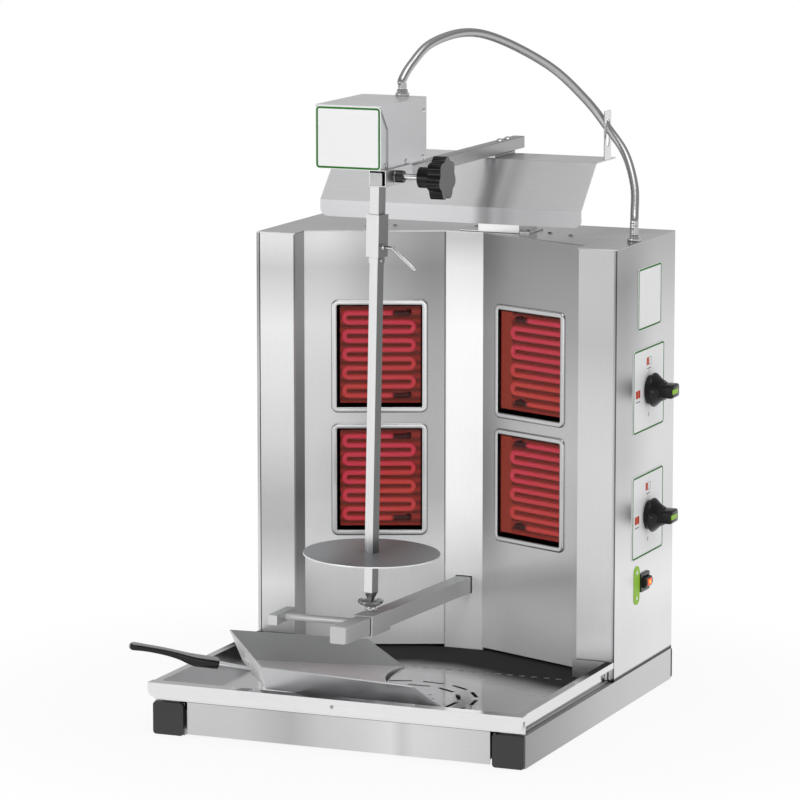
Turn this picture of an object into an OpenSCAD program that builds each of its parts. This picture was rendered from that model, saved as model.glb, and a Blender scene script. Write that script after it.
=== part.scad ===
// Electric skewer grill: a heated cabinet with four glass windows, an upper motor
// carriage and a lower slider that carry the upright spit, and a drip tray with drawer.
// X right, Y back, Z up. The origin is on the underside of the base, half way along it.

/* [Node] */
// Sub-part to draw

/* [Cabinet] */
// Overall width of the cabinet and the base
cab_w = 480; // [470:2:490]
// Height of the top face of the lid
lid_z = 576; // [566:2:580]
// Thickness of the cabinet sheets
sheet = 1.5; // [1:0.1:1.6]
// Width of the glass window openings
win_w = 107.2; // [100:0.8:108]
// Height of the glass window openings
win_h = 132.2; // [126:0.2:133]
// Depth of the heater boxes behind the glass
heater_d = 19.7; // [18:0.1:22]

/* [Base] */
// Outside of the square rails
rail = 40; // [38:0.5:40]
// Height of the drip tray
tray_h = 23.5; // [20:0.5:24]
// Length of the drain slots
slot_l = 28.5; // [22:0.5:29]
// Diameter of the small drain holes
drain_d = 5; // [3:0.5:6]

/* [Spit] */
// Across the flats of the spit bar
bar = 12; // [10:0.5:12]
// Diameter of the meat disc
disc_d = 166; // [150:2:170]
// Diameter of the cup that holds the spit point
cup_d = 32; // [30:1:36]

/* [Drive] */
// Width of the motor box
box_w = 83; // [80:1:88]
// Outside of the square chuck
chuck = 18.6; // [18:0.2:20]
// Diameter of the metal hose
hose_d = 10.8; // [9:0.2:11]

/* [Controls] */
// Diameter of the skirt of the knobs
knob_d = 43; // [38:1:46]
// Reach of the clamp knob lobes
lobe_r = 26; // [22:0.5:27]

/* [Hidden] */
$fn = 48;
hw = cab_w / 2;
fy = 47;                  // front face of the pillars
by = 260;                 // back face of the cabinet
ret_x = hw - 52;          // corner where a pillar turns back
ret_y = 76;
in_x = 26;                // inner end of a heater panel
in_y = 146;
floor_z = 42;             // top of the cabinet floor
top_z = lid_z - sheet;    // underside of the lid
plen = norm([ret_x - in_x, ret_y - in_y]);
pang = atan2(ret_y - in_y, ret_x - in_x);
win_s = 82;               // middle of a window along the panel
win_z = [259.2, 416.7];   // middles of the two rows
rail_y0 = -258;
rail_y1 = by - 1;
rail_x = hw - rail;
tray_z0 = 42;
tray_z1 = tray_z0 + tray_h;
tray_y0 = -259;           // front wall of the tray
lip_y = -273;
arm_tilt = 2;
arm_y = 149.5;
arm_z = 125;
spit_x = -3.9;            // foot of the spit, which leans a little to the right
spit_y = -145.4;
spit_lean = [0.39, 1.28];
cup_s = (spit_y - arm_y) / cos(arm_tilt);
cup_z = arm_z - (spit_y - arm_y) * tan(arm_tilt) + 12.1;
spit_ang = -15;
up_x = 24.5;              // left side of the upper arm
shield_z = lid_z + 93;    // top of the shield
up_z = shield_z + 3.5;
box_z = shield_z + 22;    // underside of the motor box
box_h = 75.5;
chuck_z = box_z - 111;    // lower end of the chuck
box_x = 8;                // where the shaft leaves the motor box
box_y0 = -221;
box_y1 = -80;
clamp_y = -182;
clamp_z = shield_z + 12;
knob_y = 163;
knob_z = [230, 388];
rock_y = 152;
rock_z = 147;
gland_x = 170;
gland_z = 90;
conduit_foot = [hw - 10, 134];
conduit_top = [14, -89];
function over_panel(f, d) = [in_x + f * (ret_x - in_x), in_y + f * (ret_y - in_y) + d];
lid_holes = [for (s = [-1, 1], q = [over_panel(0.488, 61.6), over_panel(0.691, 62.4)])
  [s * q[0], q[1]]];
foot_holes = [[0.5, 188.7], [77.5, 170.6]];
seat_holes = [186, 213];
cover_holes = [[-88, box_z + 59], [-91, box_z + 4], [-203.5, box_z + 4.5], [-144, box_z + 4]];
bolt_holes = [[-18, -18], [18, -18], [-18, 18], [18, 18]];

// ---------- shared shapes ----------
module rsq(w, h, r) {
  square([w - 2 * r, h], center = true);
  square([w, h - 2 * r], center = true);
  for (i = [-1, 1], j = [-1, 1]) translate([i * (w / 2 - r), j * (h / 2 - r)]) circle(r);
}
module tube_y(w, h, l, t) {
  difference() {
    cube([w, l, h]);
    translate([t, -1, t]) cube([w - 2 * t, l + 2, h - 2 * t]);
  }
}
module on_panel(side) {
  mirror([side < 0 ? 1 : 0, 0, 0]) translate([in_x, in_y, 0]) rotate([0, 0, pang]) children();
}
module on_side(y, z) { translate([hw, y, z]) rotate([90, 0, 90]) children(); }
module in_arm() { translate([0, arm_y, arm_z]) rotate([-arm_tilt, 0, 0]) children(); }
module at_spit(turn = spit_ang) {
  translate([spit_x, spit_y, cup_z]) rotate([spit_lean[0], spit_lean[1], 0])
    rotate([0, 0, turn]) translate([0, 0, -cup_z]) children();
}
module dome(d, h) {
  intersection() {
    translate([0, 0, h - (d * d / 4 + h * h) / (2 * h)]) sphere((d * d / 4 + h * h) / (2 * h));
    cylinder(d = d + 2, h = h + 1);
  }
}
module screw(d, h, shank, l) {
  dome(d, h);
  translate([0, 0, -l]) cylinder(d = shank, h = l + 0.2);
}

// ---------- base ----------
module rail_tube() { translate([rail_x, rail_y0, 0]) tube_y(rail, rail, rail_y1 - rail_y0, 2); }
module base_rail_right() { color("silver") rail_tube(); }
module base_rail_left() { color("silver") mirror([1, 0, 0]) rail_tube(); }
module end_cap() {
  rotate([90, 0, 0]) linear_extrude(5) rsq(rail, rail, 4);
  translate([0, 6, 0]) cube([rail - 4.4, 12, rail - 4.4], center = true);
}
module rail_end_caps() {
  color("dimgray") for (s = [-1, 1]) {
    translate([s * (rail_x + rail / 2), rail_y0, rail / 2]) end_cap();
    translate([s * (rail_x + rail / 2), rail_y1, rail / 2]) rotate([0, 0, 180]) end_cap();
  }
}
module crossbar(y) {
  translate([-rail_x, y - 20, 0]) difference() {
    cube([2 * rail_x, 40, rail]);
    translate([-1, 2, 2]) cube([2 * rail_x + 2, 36, rail - 4]);
  }
}
module base_crossbars() {
  color("silver") {
    crossbar(0);
    crossbar(by - 25);
  }
}
module tray_rests() {
  color("silver") for (s = [-1, 1])
    translate([s * (rail_x + rail / 2) - 13, -255, rail]) cube([26, 299, floor_z - rail]);
}
module drawer_runners() {
  color("silver") for (s = [0, 1]) mirror([s, 0, 0]) {
    translate([rail_x - 2, -250, 6]) cube([2, 228, 24]);
    translate([rail_x - 16, -250, 6]) cube([14.5, 228, 2]);
  }
}

// ---------- cabinet ----------
module cabinet_floor() {
  color("silver") translate([-hw, fy, rail]) cube([cab_w, by - fy, floor_z - rail]);
}
module side_sheet() {
  translate([hw - sheet, fy + 0.3, floor_z]) cube([sheet, by - fy - 0.3, top_z - floor_z]);
  translate([hw - 3.7, fy - 1.2, floor_z]) cube([3.7, sheet, top_z - floor_z]);
}
module cabinet_side_left() { color("silver") mirror([1, 0, 0]) side_sheet(); }
module cabinet_side_right() {
  color("silver") difference() {
    side_sheet();
    for (z = knob_z) translate([hw - 5, knob_y, z]) rotate([0, 90, 0]) cylinder(d = 12, h = 10);
    translate([hw - 5, rock_y - 13.5, rock_z - 9.5]) cube([10, 27, 19]);
  }
}
module cabinet_back() {
  color("silver") difference() {
    translate([-hw + sheet, by - sheet, floor_z])
      cube([cab_w - 2 * sheet, sheet, top_z - floor_z]);
    translate([gland_x, by - 5, gland_z]) rotate([-90, 0, 0]) cylinder(d = 16, h = 10);
    for (b = bolt_holes)
      translate([b[0], by - 5, 121.2 + b[1]]) rotate([-90, 0, 0]) cylinder(d = 5.8, h = 10);
  }
}
module pillar() {
  translate([0, 0, floor_z]) linear_extrude(top_z - floor_z) {
    translate([ret_x + 2, fy]) square([46 - 0.3, sheet]);
    polygon([[ret_x + 2, fy], [ret_x + 2 + sheet, fy], [ret_x + sheet, ret_y - 0.1],
      [ret_x, ret_y - 0.1]]);
  }
}
module pillar_right() { color("silver") pillar(); }
module pillar_left() { color("silver") mirror([1, 0, 0]) pillar(); }
module heater_panel() {
  difference() {
    translate([0, 0, floor_z + 4]) cube([plen, sheet, top_z - floor_z - 4]);
    for (z = win_z)
      translate([win_s - win_w / 2, -1, z - win_h / 2]) cube([win_w, sheet + 2, win_h]);
  }
}
module heater_panel_right() { color("silver") on_panel(1) heater_panel(); }
module heater_panel_left() { color("silver") on_panel(-1) heater_panel(); }
module centre_strip() {
  color("whitesmoke") difference() {
    translate([-in_x - 0.5, in_y + 2, floor_z]) cube([2 * in_x + 1, sheet, top_z - floor_z]);
    translate([-11.3, in_y, arm_z - 11.2]) cube([22.6, 6, 22.6]);
  }
}
module lid() {
  color("silver") difference() {
    translate([0, 0, top_z]) linear_extrude(sheet) polygon([[-hw, fy], [-ret_x, fy],
      [-ret_x, ret_y], [-in_x, in_y], [in_x, in_y], [ret_x, ret_y], [ret_x, fy], [hw, fy],
      [hw, by], [-hw, by]]);
    for (p = concat(lid_holes, foot_holes)) translate([p[0], p[1], top_z - 1]) cylinder(d = 4.6, h = 4);
    translate([conduit_foot[0], conduit_foot[1], top_z - 1]) cylinder(d = 6.6, h = 4);
  }
}
module lid_screws() {
  color("gainsboro") {
    for (p = lid_holes) translate([p[0], p[1], lid_z]) screw(8, 2, 3.6, 8);
    for (p = foot_holes) translate([p[0], p[1], lid_z + 2]) screw(8, 2, 3.6, 10);
  }
}
module bezel() {
  rotate([90, 0, 0]) linear_extrude(2.5) difference() {
    rsq(win_w + 14.8, win_h + 12.3, 9);
    rsq(win_w - 0.6, win_h - 0.6, 4.5);
  }
}
module window_bezels() {
  color("white") for (s = [-1, 1], z = win_z) on_panel(s) translate([win_s, 0, z]) bezel();
}
module glass_panes() {
  color([0.6, 0.1, 0.1, 0.6]) for (s = [-1, 1], z = win_z) on_panel(s)
    translate([win_s - win_w / 2 - 3, sheet, z - win_h / 2 - 3]) cube([win_w + 6, 4, win_h + 6]);
}
module heater_box() {
  difference() {
    translate([win_s - win_w / 2 - 1.2, sheet + 4, -win_h / 2 - 1.2])
      cube([win_w + 2.4, heater_d, win_h + 2.4]);
    translate([win_s - win_w / 2, sheet + 3, -win_h / 2]) cube([win_w, heater_d - 0.2, win_h]);
    for (z = [-52.65, 52.65])
      translate([45, sheet + 10, z]) rotate([-90, 0, 0]) cylinder(d = 7.8, h = 30);
  }
}
module heater_boxes() {
  color("dimgray") for (s = [-1, 1], z = win_z) on_panel(s) translate([0, 0, z]) heater_box();
}
module half_bend(dir) {
  rotate([90, 0, 0]) rotate([0, 0, dir > 0 ? -90 : 90])
    rotate_extrude(angle = 180, $fn = 24) translate([5.85, 0]) circle(3.5, $fn = 16);
}
module element() {
  for (i = [0:9]) translate([i == 0 || i == 9 ? 45 : 44, 0, -52.65 + 11.7 * i])
    rotate([0, 90, 0]) cylinder(d = 7, h = i == 0 || i == 9 ? 75 : 76, $fn = 16);
  for (i = [0:4]) translate([120, 0, -46.8 + 23.4 * i]) half_bend(1);
  for (i = [0:3]) translate([44, 0, -35.1 + 23.4 * i]) half_bend(-1);
  for (z = [-52.65, 52.65]) translate([45, 0, z]) {
    sphere(3.5, $fn = 16);
    rotate([-90, 0, 0]) cylinder(d = 7, h = 22, $fn = 16);
  }
}
module heating_elements() {
  color("red") for (s = [-1, 1], z = win_z)
    on_panel(s) translate([0, sheet + heater_d - 5.2, z]) element();
}

// ---------- arms and shield ----------
module lower_arm() {
  color("silver") {
    in_arm() translate([-10, -400, -10]) tube_y(20, 20, by - arm_y - 3.2 + 400, 1.5);
    difference() {
      translate([-26, by - sheet - 2, 121.2 - 26]) cube([52, 2, 52]);
      for (b = bolt_holes)
        translate([b[0], by - 5, 121.2 + b[1]]) rotate([-90, 0, 0]) cylinder(d = 5.8, h = 10);
    }
  }
}
module square_cap(w, t, r, inner) {
  rotate([90, 0, 0]) linear_extrude(t) rsq(w, w, r);
  translate([0, 5, 0]) cube([inner, 10, inner], center = true);
}
module upper_arm() {
  color("silver") difference() {
    translate([up_x, -211.5, up_z]) tube_y(15, 15, 463, 1.5);
    for (y = seat_holes) translate([up_x + 7.5, y, up_z - 5]) cylinder(d = 5.8, h = 30);
  }
}
module arm_caps() {
  color("white") {
    in_arm() translate([0, -400, 0]) square_cap(20, 4.5, 2.5, 16.6);
    translate([up_x + 7.5, -211.5, up_z + 7.5]) square_cap(15, 1.5, 1, 11.6);
    translate([up_x + 7.5, 251.5, up_z + 7.5]) rotate([0, 0, 180]) square_cap(15, 1.5, 1, 11.6);
  }
}
module arm_seat() {
  color("silver") difference() {
    translate([up_x, 152, shield_z]) cube([15, 69, up_z - shield_z]);
    for (y = seat_holes) translate([up_x + 7.5, y, shield_z - 5]) cylinder(d = 5.8, h = 30);
  }
}
module arm_screws() {
  color("gainsboro") {
    for (y = seat_holes) translate([up_x + 7.5, y, up_z + 15]) screw(10, 3, 5, 24);
    for (b = bolt_holes)
      translate([b[0], by, 121.2 + b[1]]) rotate([-90, 0, 0]) screw(10, 3, 5, 10);
  }
}
module shield() {
  color("silver") {
    difference() {
      translate([174.5, 0, 0]) rotate([0, -90, 0]) linear_extrude(349) polygon([
        [shield_z - 75.6, 96], [shield_z - 54.7, 96], [shield_z - 0.2, 149.5],
        [shield_z, 150.5], [shield_z, 221], [shield_z - sheet, 221],
        [shield_z - sheet, 150.9], [shield_z - 55.3, 97.5], [shield_z - 75.6, 97.5]]);
      for (s = [-1, 1]) translate([s * 174.5, 90, shield_z - 75.6]) shield_corner(s);
      for (y = seat_holes) translate([up_x + 7.5, y, shield_z - 5]) cylinder(d = 5.8, h = 30);
    }
    translate([174, 192, shield_z]) rotate([0, -90, 0]) linear_extrude(sheet) difference() {
      translate([-1, -11.5]) square([62, 23]);
      translate([22, 0]) circle(6);
      translate([22, -6]) square([23, 12]);
      translate([45, 0]) circle(6);
    }
  }
}
module shield_corner(s) {
  difference() {
    translate([s > 0 ? -10 : -1, 0, -1]) cube([11, 12, 11]);
    translate([-s * 10, -1, 10]) rotate([-90, 0, 0]) cylinder(r = 10, h = 14);
  }
}
module shield_support() {
  color("gray") difference() {
    union() {
      translate([17, 151, lid_z]) cube([55, 2, shield_z - sheet - lid_z]);
      translate([17, 152, lid_z]) cube([2, 62, shield_z - sheet - lid_z]);
      translate([70, 152, lid_z]) cube([2, 62, shield_z - sheet - lid_z]);
      translate([-8, 152, lid_z]) cube([26, 62, 2]);
      translate([71, 152, lid_z]) cube([14, 50, 2]);
    }
    for (p = foot_holes) translate([p[0], p[1], lid_z - 2]) cylinder(d = 4.6, h = 8);
    for (x = [10, 66]) translate([x, 168, lid_z + 22]) cube([16, 30, 44]);
  }
}

// ---------- metal hose: through the tab of the shield down to the lid ----------
hose_pts = [for (d = [83.5, 89, 95]) [conduit_top[0], conduit_top[1], box_z + d],
  [19, -71, box_z + 113], [30, -37, box_z + 135], [51, 21, box_z + 144.5],
  [75.5, 77.5, box_z + 132], [115, 145, box_z + 95], [148.5, 179.5, box_z + 53],
  [173.2, 192, box_z + 18], [198, 189, box_z - 14],
  [conduit_foot[0] - 12, 167, lid_z + 64], [conduit_foot[0] - 1, 137.5, lid_z + 32],
  for (d = [20, 14, 8]) [conduit_foot[0], conduit_foot[1], lid_z + d]];
hose_ribs = 190;
hose_sides = 8;
hose_k = 10;              // steps between two points of the route
function cr(a, b, c, d, t) = 0.5 * (2 * b + (c - a) * t + (2 * a - 5 * b + 4 * c - d) * t * t
  + (3 * b - a - 3 * c + d) * t * t * t);
hl = len(hose_pts);
hose_line = [for (i = [0:hl - 2], k = [0:hose_k - 1])
  cr(hose_pts[max(i - 1, 0)], hose_pts[i], hose_pts[i + 1], hose_pts[min(i + 2, hl - 1)], k / hose_k),
  hose_pts[hl - 1]];
hm = len(hose_line);
hose_s = [for (i = 0, t = 0; i < hm; t = t + norm(hose_line[min(i + 1, hm - 1)] - hose_line[i]),
  i = i + 1) t];
hose_len = hose_s[hm - 1];
hose_x = [for (i = [0:hm - 1]) [hose_s[i], hose_line[i][0]]];
hose_y = [for (i = [0:hm - 1]) [hose_s[i], hose_line[i][1]]];
hose_z = [for (i = [0:hm - 1]) [hose_s[i], hose_line[i][2]]];
function unit(v) = v / norm(v);
function on_hose(t) = [lookup(t, hose_x), lookup(t, hose_y), lookup(t, hose_z)];
function hose_dir(t) = unit(on_hose(min(t + 2, hose_len)) - on_hose(max(t - 2, 0)));
function ring_of(t, r) = let (q = t < 8 ? [0, 0, 1] : t > hose_len - 8 ? [0, 0, -1] : hose_dir(t),
  a = unit(cross(cross(q, [0.9, -0.42, 0]), q)), b = cross(q, a))
  [for (k = [0:hose_sides - 1]) on_hose(t) + r * (cos(360 * k / hose_sides) * a
    + sin(360 * k / hose_sides) * b)];
module hose(d) {
  n = hose_sides;
  no = 2 * hose_ribs;     // steps of the ribbed outside
  ni = 60;                // steps of the bore
  outer = [for (j = [0:no]) each ring_of(hose_len * j / no, d / 2 - (j % 2 == 0 ? 0.55 : 0))];
  inner = [for (j = [0:ni]) each ring_of(hose_len * j / ni, d / 2 - 1.5)];
  o = len(outer);
  e = o + ni * n;
  function wall(base, cnt, out) = [for (j = [0:cnt - 1], k = [0:n - 1])
    let (a = base + j * n + k, b = base + j * n + (k + 1) % n, c = a + n, f = b + n)
    each (out ? [[a, c, f], [a, f, b]] : [[a, f, c], [a, b, f]])];
  starts = [for (k = [0:n - 1]) let (a = k, b = (k + 1) % n) each [[a, b, o + b], [a, o + b, o + k]]];
  ends = [for (k = [0:n - 1]) let (a = no * n + k, b = no * n + (k + 1) % n, f = (k + 1) % n)
    each [[a, e + f, b], [a, e + k, e + f]]];
  polyhedron(concat(outer, inner), concat(wall(0, no, true), wall(o, ni, false), starts, ends),
    convexity = 10);
}
module conduit() { color("lightgray") hose(hose_d); }
module fitting() {
  cylinder(d = 17, h = 4);
  cylinder(d = 13.5, h = 8);
}
module hose_fitting_top() {
  color("silver") {
    translate([conduit_top[0], conduit_top[1], box_z + box_h]) fitting();
    translate([conduit_top[0], conduit_top[1], box_z + box_h - 4.5]) cylinder(d = 6, h = 5);
  }
}
module hose_fitting_lid() {
  color("silver") {
    translate([conduit_foot[0], conduit_foot[1], lid_z]) fitting();
    translate([conduit_foot[0], conduit_foot[1], lid_z - 8]) cylinder(d = 6, h = 9);
  }
}

// ---------- side plates and switches ----------
module control_plates() {
  color("white") for (z = [232, 390]) on_side(163, z) linear_extrude(0.8) difference() {
    rsq(114, 105, 5);
    translate([0, (z < 300 ? knob_z[0] : knob_z[1]) - z]) circle(6);
  }
}
module label_plate() { color("white") on_side(164.5, 504.2) linear_extrude(0.8) rsq(85, 77.5, 4); }
module switch_label() {
  color("yellowgreen") on_side(125.7, 146.5) linear_extrude(0.8) rsq(20, 49, 9.8);
}
module rotary_switches() {
  color("dimgray") for (z = knob_z) difference() {
    translate([hw - sheet - 40, knob_y - 22, z - 22]) cube([40, 44, 44]);
    translate([hw - sheet - 20, knob_y, z]) rotate([0, 90, 0]) cylinder(d = 6.1, h = 30);
  }
}
module rocker_frame() {
  color("black") difference() {
    union() {
      on_side(rock_y, rock_z) linear_extrude(2.5) rsq(31, 23, 2);
      translate([hw - 22, rock_y - 13, rock_z - 9]) cube([22.5, 26, 18]);
    }
    translate([hw - 20, rock_y - 11.2, rock_z - 7.2]) cube([30, 22.4, 14.4]);
    translate([hw - 2, rock_y - 20, rock_z]) rotate([-90, 0, 0]) cylinder(d = 2.1, h = 40);
  }
}
module cable_gland() {
  color("black") difference() {
    union() {
      translate([gland_x, by, gland_z]) rotate([-90, 0, 0]) cylinder(d = 24, h = 6);
      translate([gland_x, by + 5, gland_z]) rotate([-90, 0, 0]) cylinder(d = 19, h = 9);
      translate([gland_x, by - 12, gland_z]) rotate([-90, 0, 0]) cylinder(d = 15.6, h = 13);
    }
    translate([gland_x, by - 20, gland_z]) rotate([-90, 0, 0]) cylinder(d = 9, h = 50);
  }
}
module terminal_block() {
  color("whitesmoke") difference() {
    translate([130, 200, floor_z]) cube([70, 24, 22]);
    for (i = [0:4]) translate([137 + 14 * i, 212, floor_z + 6]) cylinder(d = 5, h = 20);
  }
}

// ---------- carriage with the motor ----------
bh = box_w / 2;
module motor_body() {
  color("silver") difference() {
    translate([-bh + sheet, box_y0 + sheet, box_z])
      cube([box_w - 2 * sheet, box_y1 - box_y0 - 2 * sheet, 74]);
    translate([-bh + 2 * sheet, box_y0 + 2 * sheet, box_z + sheet])
      cube([box_w - 4 * sheet, box_y1 - box_y0 - 4 * sheet, 80]);
    at_spit() translate([0, 0, box_z - 2]) cylinder(d = 24, h = 6);
    for (p = cover_holes)
      translate([-60, p[0], p[1]]) rotate([0, 90, 0]) cylinder(d = 3.6, h = 120);
  }
}
module cover_side() {
  rotate([90, 0, 90]) linear_extrude(sheet) polygon([[-198, box_z], [box_y1, box_z],
    [box_y1, box_z + box_h], [box_y0, box_z + box_h], [box_y0, box_z + 74], [-198, box_z + 46]]);
}
module motor_cover() {
  color("silver") difference() {
    union() {
      translate([bh - sheet, 0, 0]) cover_side();
      translate([-bh, 0, 0]) cover_side();
      translate([-bh, box_y0, box_z + 74]) cube([box_w, box_y1 - box_y0, box_h - 74]);
      translate([-bh, box_y1 - sheet, box_z]) cube([box_w, sheet, 75]);
    }
    for (p = cover_holes)
      translate([-60, p[0], p[1]]) rotate([0, 90, 0]) cylinder(d = 3.6, h = 120);
    translate([conduit_top[0], conduit_top[1], box_z + 69]) cylinder(d = 6.6, h = 10);
  }
}
module front_plate() {
  color("white") translate([0, box_y0 + sheet, box_z + 37]) rotate([90, 0, 0])
    linear_extrude(sheet) rsq(box_w, 74, 4);
}
module gearmotor() {
  color("dimgray") difference() {
    union() {
      translate([3, spit_y, box_z + sheet]) cylinder(d = 66, h = 34);
      translate([3, spit_y + 4, box_z + sheet + 33]) cylinder(d = 50, h = 36);
    }
    at_spit() translate([0, 0, box_z - 2]) cylinder(d = 12.1, h = 28);
  }
}
module carriage_sleeve() {
  color("silver") difference() {
    union() {
      translate([up_x - sheet, -213, box_z - 20]) tube_y(22, 20, 81, sheet);
      translate([up_x + 20.5, clamp_y, clamp_z]) rotate([0, 90, 0]) cylinder(d = 14.5, h = 10);
    }
    translate([up_x + 17, clamp_y, clamp_z]) rotate([0, 90, 0]) cylinder(d = 7.1, h = 20);
  }
}
module cover_screws() {
  color("gainsboro") for (s = [0, 1], p = cover_holes) mirror([s, 0, 0])
    translate([p[0] < -200 ? bh - sheet : bh, p[0], p[1]]) rotate([0, 90, 0])
      screw(7, 1.8, 3, p[0] < -200 ? 3 : 4);
}
module clamp_knob() {
  color("black") translate([0, clamp_y, clamp_z]) rotate([0, 90, 0]) {
    translate([0, 0, up_x + 15.3]) cylinder(d = 7, h = 40);
    translate([0, 0, 75.6]) cylinder(d = 24.7, h = 18);
    difference() {
      translate([0, 0, 93.3]) cylinder(r = lobe_r - 1.5, h = 16.7);
      for (i = [0:6]) rotate([0, 0, 360 / 7 * i]) translate([lobe_r + 5.2, 0, 90])
        cylinder(r = 9, h = 24);
    }
    for (i = [0:6]) rotate([0, 0, 360 / 7 * (i + 0.5)]) translate([lobe_r - 6, 0, 93.3])
      cylinder(r = 6, h = 16.7);
  }
}
module drive_shaft() {
  color("silver") at_spit() {
    translate([-6.6, -6.6, chuck_z + 38]) cube([13.2, 13.2, 73]);
    translate([0, 0, box_z - 1]) cylinder(d = 12, h = 24);
  }
}
module spit_chuck() {
  color("silver") at_spit() difference() {
    union() {
      translate([-chuck / 2, -chuck / 2, chuck_z]) cube([chuck, chuck, 51]);
      translate([chuck / 2 - 1, 0, chuck_z + 12]) rotate([0, 90, 0]) cylinder(d = 8, h = 4.5);
    }
    translate([-bar / 2 - 0.5, -bar / 2 - 0.5, chuck_z - 10]) cube([bar + 1, bar + 1, 48]);
    translate([-6.6, -6.6, chuck_z + 37.9]) cube([13.2, 13.2, 20]);
    translate([bar / 2 + 0.2, 0, chuck_z + 12]) rotate([0, 90, 0]) cylinder(d = 4.7, h = 12);
  }
}
module lock_lever() {
  color("gainsboro") at_spit() translate([0, 0, chuck_z + 12]) {
    translate([6.8, 0, 0]) rotate([0, 90, 0]) cylinder(d = 4.6, h = 16.8);
    translate([23.6, 0, 0]) sphere(2.6);
    translate([23.6, 0, 0]) rotate([0, 123, 0]) cylinder(d = 4.6, h = 40);
    translate([23.6, 0, 0]) rotate([0, 123, 0]) translate([0, 0, 39.2]) sphere(2.5);
  }
}

// ---------- lower slider, spit and disc ----------
module slider_sleeve() {
  color("silver") in_arm() translate([-12.5, cup_s - 34, -13.2]) difference() {
    cube([25, 57, 25]);
    translate([1.75, -1, 1.75]) cube([21.5, 59, 21.5]);
  }
}
module pivot_cup() {
  color("gainsboro") translate([spit_x, spit_y, cup_z]) rotate_extrude() polygon([[0, 0], [8, 0],
    [8, 1.5], [6, 3.2], [6, 4.6], [7.5, 6.2], [cup_d / 2 - 4, 8.2], [cup_d / 2 - 0.6, 11],
    [cup_d / 2, 13.4], [cup_d / 2 - 0.8, 13.8], [cup_d / 2 - 1.8, 11.8], [cup_d / 2 - 4.4, 9.8],
    [5, 9], [0, 7.4]]);
}
module slider_handle() {
  color("silver") translate([0, spit_y - 2, 132.4]) {
    translate([-24, 0, 0]) rotate([0, 90, 0]) cylinder(d = 14, h = 11.5);
    translate([-115, 0, 0]) rotate([0, 90, 0]) cylinder(d = 9, h = 92);
    translate([-126.4, -28, -6]) cube([12, 56, 12]);
  }
}
tip_z = cup_z + 7.8;
module spit_bar() {
  h = bar / 2;
  color("silver") at_spit() {
    translate([-h, -h, tip_z + 15.9]) cube([bar, bar, chuck_z + 28 - tip_z - 15.9]);
    translate([-h - 0.7, -h - 0.7, chuck_z - 7.6]) cube([bar + 1.4, bar + 1.4, 6.4]);
    translate([h, 0, chuck_z - 4.4]) rotate([0, 90, 0]) cylinder(d = 4.4, h = 3);
    polyhedron([[-h, -h, tip_z + 16], [h, -h, tip_z + 16], [h, h, tip_z + 16],
      [-h, h, tip_z + 16], [0, 0, tip_z]],
      [[3, 2, 1, 0], [0, 1, 4], [1, 2, 4], [2, 3, 4], [3, 0, 4]]);
    translate([0, 0, 215.7]) rotate([90, 0, 0]) cylinder(d = 4, h = 24, center = true);
  }
}
module meat_disc() {
  color("silver") at_spit() difference() {
    translate([0, 0, 217.7]) cylinder(d = disc_d, h = 2, $fn = 96);
    translate([-bar / 2 - 0.3, -bar / 2 - 0.3, 210]) cube([bar + 0.6, bar + 0.6, 12]);
  }
}

// ---------- knobs and rocker ----------
module knob() {
  rotate([0, 90, 0]) {
    translate([0, 0, -19]) cylinder(d = 6, h = 24);
    translate([0, 0, 1.6]) rotate_extrude() polygon([[0, 0], [knob_d / 2 - 3, 0],
      [knob_d / 2 - 3, 5], [knob_d / 2, 6.5], [knob_d / 2, 9], [knob_d / 2 - 2.5, 12.5],
      [14, 17], [12, 21], [0, 21]]);
  }
  translate([14, -13.5, -8.5]) cube([23, 27, 17]);
}
module upper_knob() { color("black") translate([hw, knob_y, knob_z[1]]) knob(); }
module lower_knob() { color("black") translate([hw, knob_y, knob_z[0]]) knob(); }
module rocker() {
  color("orangered") translate([hw, rock_y, rock_z]) {
    intersection() {
      translate([-4, -10.6, -6.2]) cube([20, 21.2, 12.4]);
      translate([-2, -20, 0]) rotate([-90, 0, 0]) cylinder(r = 10.6, h = 40);
    }
    translate([-2, -12.4, 0]) rotate([-90, 0, 0]) cylinder(d = 2, h = 24.8);
  }
}

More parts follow.
